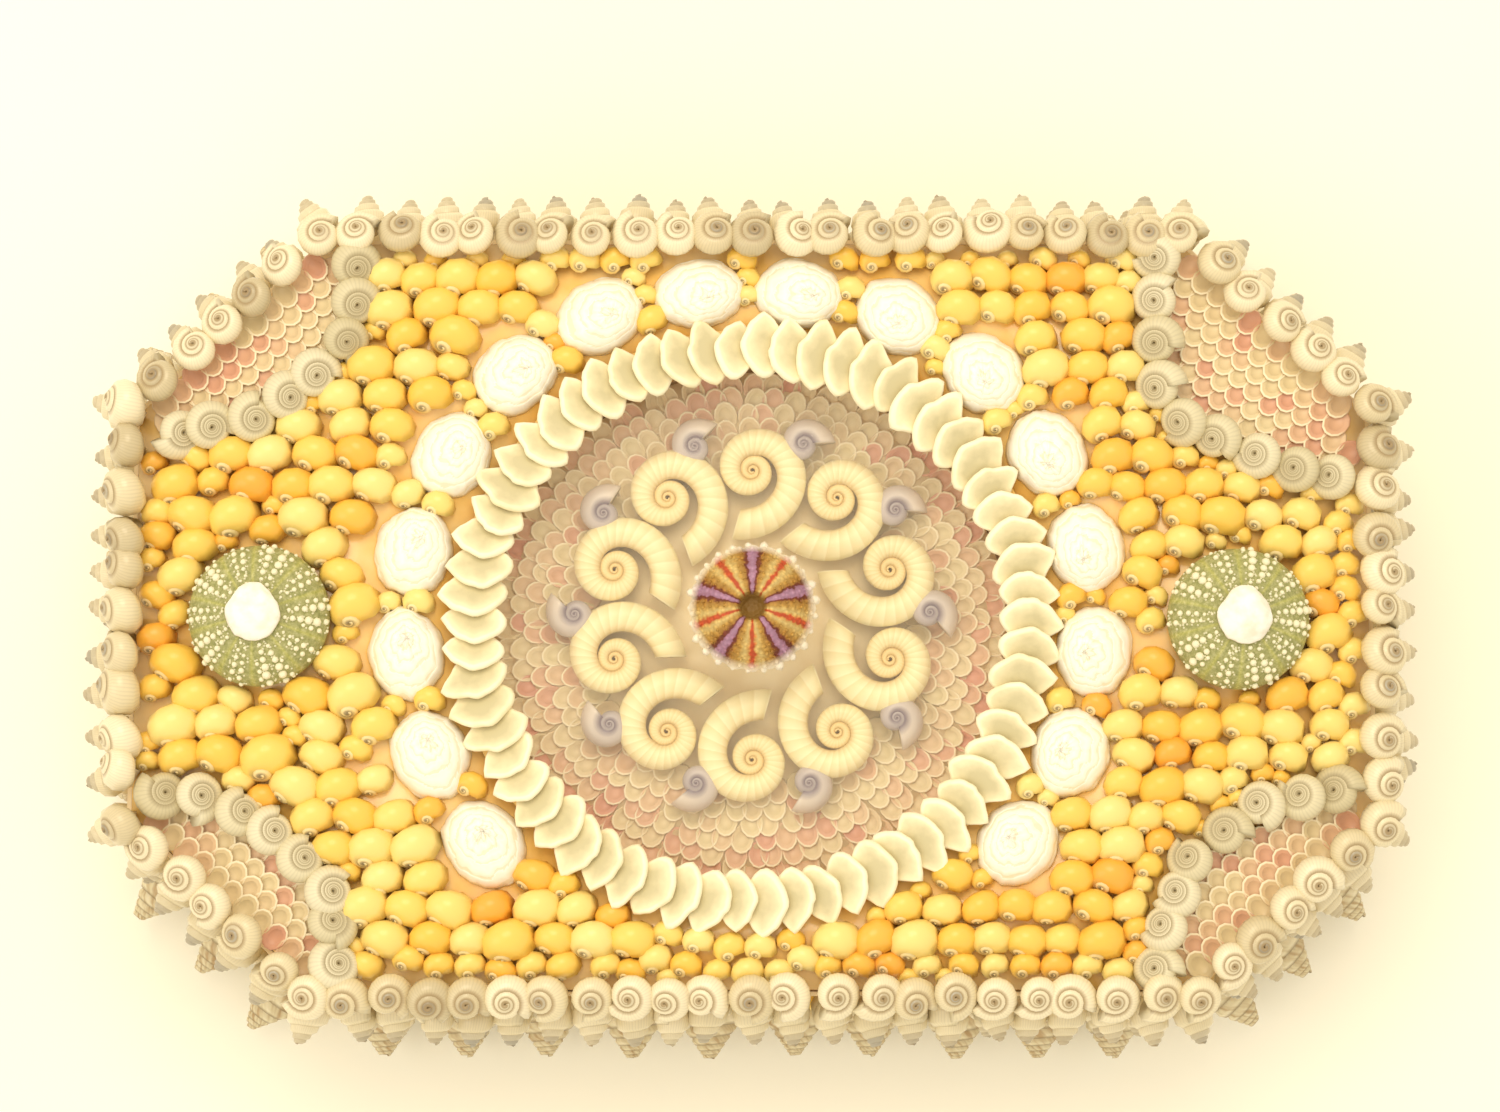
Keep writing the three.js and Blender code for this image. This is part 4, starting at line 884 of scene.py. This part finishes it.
bm = coil(whorls=4.6, steps=20, sides=10, growth=1.46, reach=0.56, drop=0.66, wide=0.46, tall=0.62)
button_template = as_template("button_shell", fitted(bm, *BUTTON_SHELL), "tint")
for name, spots in CORNERS.items():
    across, up = signs(name)
    towards = Vector((across * SLANT.x, up * SLANT.y))
    bm = bmesh.new()
    for x, y in spots:
        facing = math.atan2(-y, -x)
        place = (
            Matrix.Translation((x, y, ON_BED + 1.2))
            @ turn(facing + 0.15 * sway(), "Z")
            @ turn(math.radians(30 + 6 * sway()), "Y")
            @ turn(dice.uniform(0, math.tau), "Z")
            @ Matrix.Translation((0, 0, -0.6))
            @ Matrix.Scale(dice.uniform(0.94, 1.03), 4)
        )
        stamp(bm, button_template, place, tint=dice.random())
    finish_piece(f"button_shells_{name}", bm, grey_button, "grey_button", f"button_row_{name}")

    bm = bmesh.new()
    for row in range(CORNER_ROWS):
        for column in range(-HALF_COLUMNS, HALF_COLUMNS + 1):
            depth = SLANT_DISTANCE - 3.0 - CORNER_ROW_PITCH * row
            side = Vector((-towards.y, towards.x)) * (SCALE_PITCH * (column + 0.5 * (row % 2)))
            spot = towards * depth + side
            beside = min(math.hypot(spot.x - x, spot.y - y) for x, y in spots)
            if beside < BUTTON_CLEARANCE or not in_corner(spot.x, spot.y):
                continue
            if abs(spot.x) > HALF_LENGTH - SCALE_MARGIN or abs(spot.y) > HALF_WIDTH - SCALE_MARGIN:
                continue
            place = (
                Matrix.Translation((spot.x, spot.y, ON_BED + 0.35))
                @ turn(math.atan2(-towards.y, -towards.x) + 0.15 * sway(), "Z")
                @ turn(-0.2, "Y")
                @ Matrix.Scale(dice.uniform(1.0, 1.12), 4)
            )
            stamp(bm, scale_template, place, tint=0.3 + 0.65 * dice.random())
    finish_piece(f"corner_scale_shells_{name}", bm, scale_pink, "pink_scale", f"pink_panel_{name}")

# ---- Yellow periwinkles
# Some 320 glossy yellow periwinkles fill the rest of the lid, glued down in amber putty in loose rows with
# small ones in the gaps. Each is a fat round shell whose small coil shows at its lower end.
YELLOW_SIZES = (4.1, 5.3)
YELLOW_FILLERS = ((3.1, 3.6), (2.3, 2.7))
YELLOW_ROW_PITCH = 6.9
YELLOW_FLATNESS = 0.82
YELLOW_CLOSENESS = 0.88
BED_BOTTOM = 68.6
BED_HOLE = 60.7
INSIDE_RIM = RIM_LINE - 5.0
UNDER_RIM = INSIDE_RIM + 3.4


# The numbers between 0 and 1 that the solid field draws, the same on every run
def stream(seed):
    state = seed
    while True:
        state = (state * 16807) % 2147483647
        yield state / 2147483647


def yellow_places():
    round_ones = [(WINDOW.x, WINDOW.y, PLATE_CIRCLE + PLATE_LENGTH / 2 - 1.2)]
    round_ones += [(spot.x, spot.y, 0.9 * WHITE_RADIUS) for spot, _, _ in white_places]
    round_ones += [(spot.x, spot.y, GREEN_RADIUS) for spot in GREEN_PLACES]
    round_ones += [(x, y, 4.4) for spots in CORNERS.values() for x, y in spots]
    numbers = stream(71)
    shells = []

    def place(x, y, least, most, inside):
        radius = (least + (most - least) * next(numbers)) * (1 + 0.16 * max(0, -x) / HALF_LENGTH)
        reach = 0.84 * radius
        if abs(x) + reach > HALF_LENGTH + inside or abs(y) + YELLOW_FLATNESS * reach > HALF_WIDTH + inside:
            return
        if SLANT.x * abs(x) + SLANT.y * abs(y) + reach > SLANT_DISTANCE + INSIDE_RIM or in_corner(x, y):
            return
        if any(math.hypot(x - a, y - b) < reach + r for a, b, r in round_ones):
            return
        flat = YELLOW_FLATNESS
        if any(math.hypot(x - a, (y - b) / flat) < YELLOW_CLOSENESS * (radius + r) for a, b, r in shells):
            return
        shells.append((x, y, radius))

    top_row = HALF_WIDTH + INSIDE_RIM - YELLOW_FLATNESS * YELLOW_SIZES[0] - 0.6
    for row in range(25):
        for column in range(356):
            y = top_row - YELLOW_ROW_PITCH * row + 1.2 * (next(numbers) - 0.5)
            place(-HALF_LENGTH + 0.8 * column, y, *YELLOW_SIZES, INSIDE_RIM)
    for least, most in YELLOW_FILLERS:
        for row in range(124):
            for column in range(204):
                place(-HALF_LENGTH + 1.4 * column, HALF_WIDTH - 1.4 * row, least, most, UNDER_RIM)
    return shells


# Periwinkle shell, thick and glossy: gold with paler ends, orange in some, a grey line round the coil
periwinkle, tree, shader = start_material("glossy_yellow_periwinkle", Roughness=0.36, Coat_Weight=0.2)
whorl, around, tint = [add_node(tree, "Attribute", attribute_name=name) for name in COIL_VALUES]
body = add_node(
    tree, "ValToRGB", {0: tint}, [(0.0, "#F8E08C"), (0.45, "#F8D46A"), (0.85, "#F6C650"), (1.0, "#F2AC3C")]
)
end = add_node(tree, "MapRange", {0: whorl, 1: 0.45, 2: 1.1, 3: 0.0, 4: 0.75})
paled = add_node(tree, "Mix", {0: end, 6: body, 7: linear("#F3E2B0")})
seam = add_node(tree, "ValToRGB", {0: around}, [(0.19, 0.0), (0.26, 0.9)])
coiled = add_node(tree, "MapRange", {0: whorl, 1: 0.25, 2: 0.6, 3: 0.0, 4: 1.0})
both = add_node(tree, "Math", {0: seam, 1: coiled}, operation="MULTIPLY")
ringed = add_node(tree, "Mix", {0: both, 6: paled, 7: linear("#A08C66")})
paint(tree, shader, ringed)


def periwinkle_shell(tip):
    bm = coil(whorls=2.1, steps=10, sides=9, growth=2.6, reach=0.38, drop=0.7, wide=0.62, tall=0.62)
    bmesh.ops.rotate(bm, verts=bm.verts, cent=(0, 0, 0), matrix=Matrix.Rotation(math.radians(tip), 3, "X"))
    fitted(bm, 2.0, 2.0)
    low = min(vert.co.y for vert in bm.verts)
    high = max(vert.co.y for vert in bm.verts)
    bmesh.ops.scale(bm, verts=bm.verts, vec=(1, 2 / (high - low), 1))
    return as_template("periwinkle", bm, "tint")


def loop(bm, outset):
    verts = [bm.verts.new((corner.x, corner.y, 0)) for corner in outline(outset)]
    return [bm.edges.new(pair) for pair in zip(verts, verts[1:] + verts[:1])]


periwinkles = [periwinkle_shell(tip) for tip in (66, 56, 42)]
bm = bmesh.new()
for x, y, radius in yellow_places():
    place = (
        Matrix.Translation((x, y, BED_BOTTOM + 0.8))
        @ turn(math.radians(-18 + 26 * sway()), "Z")
        @ Matrix.Diagonal((1.14 * radius, 1.18 * YELLOW_FLATNESS * radius, 0.78 * radius, 1))
    )
    chosen = periwinkles[2 if radius < 3.6 else dice.randrange(2)]
    stamp(bm, chosen, place, tint=dice.random())
finish_piece("yellow_periwinkles", bm, periwinkle, "yellow_shell", "yellow_field")
bm = bmesh.new()
inner = bmesh.ops.create_circle(bm, segments=96, radius=BED_HOLE)["verts"]
bmesh.ops.translate(bm, verts=inner, vec=WINDOW)
loop(bm, -0.3)
bmesh.ops.bridge_loops(bm, edges=bm.edges)
bmesh.ops.translate(bm, verts=bm.verts, vec=(0, 0, BED_BOTTOM))
thicken(bm, 1.5)
finish_piece("putty_bed", bm, amber_glue_painted_glow, "yellow_shell")

# ---- Courses on the side of the tray
# Below the lid a course of small top shells goes round the tray, and under it two courses of yellow
# periwinkles. They are set in the same putty as the lid's and are plainer, because they show little.
COURSE_BOTTOM = 21.8
COURSE_PITCH = 11.2
LID_BOTTOM = 56.0
bm = bmesh.new()
for course in (0, 1):
    for spot, angle in row_with_corners(1.3, 9.6):
        place = (
            Matrix.Translation((spot.x, spot.y, COURSE_BOTTOM + COURSE_PITCH * (course + 0.5)))
            @ turn(angle, "Z")
            @ turn(math.pi / 2, "Y")
            @ turn(math.pi / 2 + 0.4 * sway(), "Z")
            @ Matrix.Diagonal((4.9, 4.6, 2.7, 1))
        )
        stamp(bm, periwinkles[0], place, tint=dice.random())
finish_piece("side_periwinkles", bm, periwinkle, "yellow_shell", "tray_side_courses")
bm = bmesh.new()
for spot, angle in row_with_corners(0.6, TOP_PITCH):
    place = (
        Matrix.Translation((spot.x, spot.y, COURSE_BOTTOM + COURSE_PITCH * 2.5))
        @ turn(angle, "Z")
        @ turn(math.pi / 2 + 0.1 * sway(), "Y")
        @ turn(dice.uniform(0, math.tau), "Z")
        @ Matrix.Scale(0.9, 4)
    )
    stamp(bm, edge_template, place, tint=0.1 + 0.5 * dice.random())
finish_piece("side_top_shells", bm, pearly_top, "pearl_shell")


def band(bottom, top):
    bm = bmesh.new()
    bmesh.ops.bridge_loops(bm, edges=loop(bm, 1.3) + loop(bm, 0.3))
    bmesh.ops.translate(bm, verts=bm.verts, vec=(0, 0, bottom))
    thicken(bm, top - bottom)
    return bm


bm = band(COURSE_BOTTOM, LID_BOTTOM - 0.6)
finish_piece("side_putty", bm, amber_glue_painted_glow, "yellow_shell").data.shade_flat()
bm = band(LID_BOTTOM + 0.9, LID_BOTTOM + 11.7)
finish_piece("edge_putty", bm, glue_floor, "pearl_shell").data.shade_flat()

# ---- Foot row
# Large pointed top shells set round the foot with their tips outwards, beige with slanting brown streaks. The
# three on each slanting side are longer.
FOOT_RADIUS = 9.8
FOOT_LEVEL = 10.6
FOOT_LENGTH = 20.0
FOOT_PITCH = 20.6
SLANTING_LENGTH = 26.0
SLANTING_PITCH = 22.0

# Top shell, striped: beige lime with brown streaks that cross the coils at a slant
striped_top, tree, shader = start_material("striped_top_shell", Roughness=0.42)
whorl, around, tint = [add_node(tree, "Attribute", attribute_name=name) for name in COIL_VALUES]
slanted = add_node(tree, "Math", {0: around, 1: 0.35, 2: whorl}, operation="MULTIPLY_ADD")
spread = add_node(tree, "Math", {0: slanted, 1: 11.0}, operation="MULTIPLY")
own = add_node(tree, "CombineXYZ", {0: spread, 1: tint, 2: around})
streaks = add_node(tree, "TexNoise", {0: own, "Scale": 1.6, "Detail": 2.0})
tone = add_node(
    tree, "ValToRGB", {0: streaks},
    [(0.34, "#B89C70"), (0.45, "#CFBE96"), (0.56, "#DED2AC"), (0.75, "#E8DCBC")],
)
seam = add_node(tree, "ValToRGB", {0: around}, [(0.19, 0.0), (0.25, 0.8)])
seamed = add_node(tree, "Mix", {0: seam, 6: tone, 7: linear("#8F7650")})
relief = add_node(tree, "Bump", {"Strength": 0.3, "Distance": 0.0004, "Height": streaks})
paint(tree, shader, seamed, relief)

bm = coil(
    whorls=6.2, steps=18, sides=8, growth=1.36, reach=0.62, drop=1.75, wide=0.36, tall=0.52,
    lean=math.radians(20)
)
foot_template = as_template("foot_top_shell", fitted(bm, 2 * FOOT_RADIUS - 0.6, FOOT_LENGTH), "tint")
bm = bmesh.new()
for start, end, outwards in sides(0.8):
    slanting = abs(outwards.x * outwards.y) > 0.01
    count = round((end - start).length / (SLANTING_PITCH if slanting else FOOT_PITCH))
    for i in range(count):
        spot = start.lerp(end, (i + 0.5) / count)
        length = (SLANTING_LENGTH if slanting else FOOT_LENGTH) * dice.uniform(0.95, 1.0) / FOOT_LENGTH
        place = (
            Matrix.Translation((spot.x, spot.y, FOOT_LEVEL))
            @ turn(math.atan2(outwards.y, outwards.x), "Z")
            @ turn(math.pi / 2, "Y")
            @ turn(dice.uniform(0, math.tau), "Z")
            @ Matrix.Diagonal((1, 1, length, 1))
        )
        stamp(bm, foot_template, place, tint=5 * dice.random())
finish_piece("foot_top_shells", bm, striped_top, "striped_shell", "foot_row")
finish_piece("foot_putty", band(0.8, COURSE_BOTTOM - 0.6), glue_floor, "striped_shell").data.shade_flat()

# ---- Floor, lights and camera
# A pale floor under soft daylight from behind the box, as in a high-key studio photograph.
CAMERA_DISTANCE = 620.0
CAMERA_TILT = math.radians(5.3)
AIM = Vector((-0.5, 12.9, 72.0))

floor_paint, tree, shader = start_material("cream_floor", Roughness=0.9)
place = add_node(tree, "TexCoord")
cloud = add_node(tree, "TexNoise", {0: place, "Scale": 3.0, "Detail": 2.0})
tone = add_node(tree, "ValToRGB", {0: cloud}, [(0.3, "#FFFBE9"), (0.7, "#FFFDF0")])
paint(tree, shader, tone)
bm = bmesh.new()
bmesh.ops.create_grid(bm, x_segments=1, y_segments=1, size=3.0)
mesh = bpy.data.meshes.new("floor")
bm.to_mesh(mesh)
bm.free()
mesh.materials.append(floor_paint)
floor = bpy.data.objects.new("floor", mesh)
bpy.context.scene.collection.objects.link(floor)

world = bpy.data.worlds.new("studio")
bpy.context.scene.world = world
world.use_nodes = True
world.node_tree.nodes["Background"].inputs[0].default_value = linear("#FFF6E4")
world.node_tree.nodes["Background"].inputs[1].default_value = 1.02


def area_light(name, spot, aim, size, power, colour):
    data = bpy.data.lights.new(name, "AREA")
    data.shape = "DISK"
    data.size = size
    data.energy = power
    data.color = linear(colour)[:3]
    light = bpy.data.objects.new(name, data)
    light.location = spot
    light.rotation_euler = (Vector(aim) - Vector(spot)).to_track_quat("-Z", "Y").to_euler()
    bpy.context.scene.collection.objects.link(light)


area_light("key", (-0.05, 0.45, 1.05), (0, 0, 0.05), 0.7, 4.4, "#FFF1D8")
area_light("fill", (-0.8, -0.2, 0.9), (0, 0, 0.05), 0.8, 2.0, "#FFF6E6")

camera_data = bpy.data.cameras.new("camera")
camera_data.sensor_width = 36.0
camera_data.lens = 64.7
camera_data.clip_start = 0.01
camera = bpy.data.objects.new("camera", camera_data)
bpy.context.scene.collection.objects.link(camera)
spot = AIM + CAMERA_DISTANCE * Vector((0, -math.sin(CAMERA_TILT), math.cos(CAMERA_TILT)))
camera.location = spot / 1000
camera.rotation_euler = (CAMERA_TILT, 0, 0)
bpy.context.scene.camera = camera
bpy.context.scene.view_settings.view_transform = "Standard"
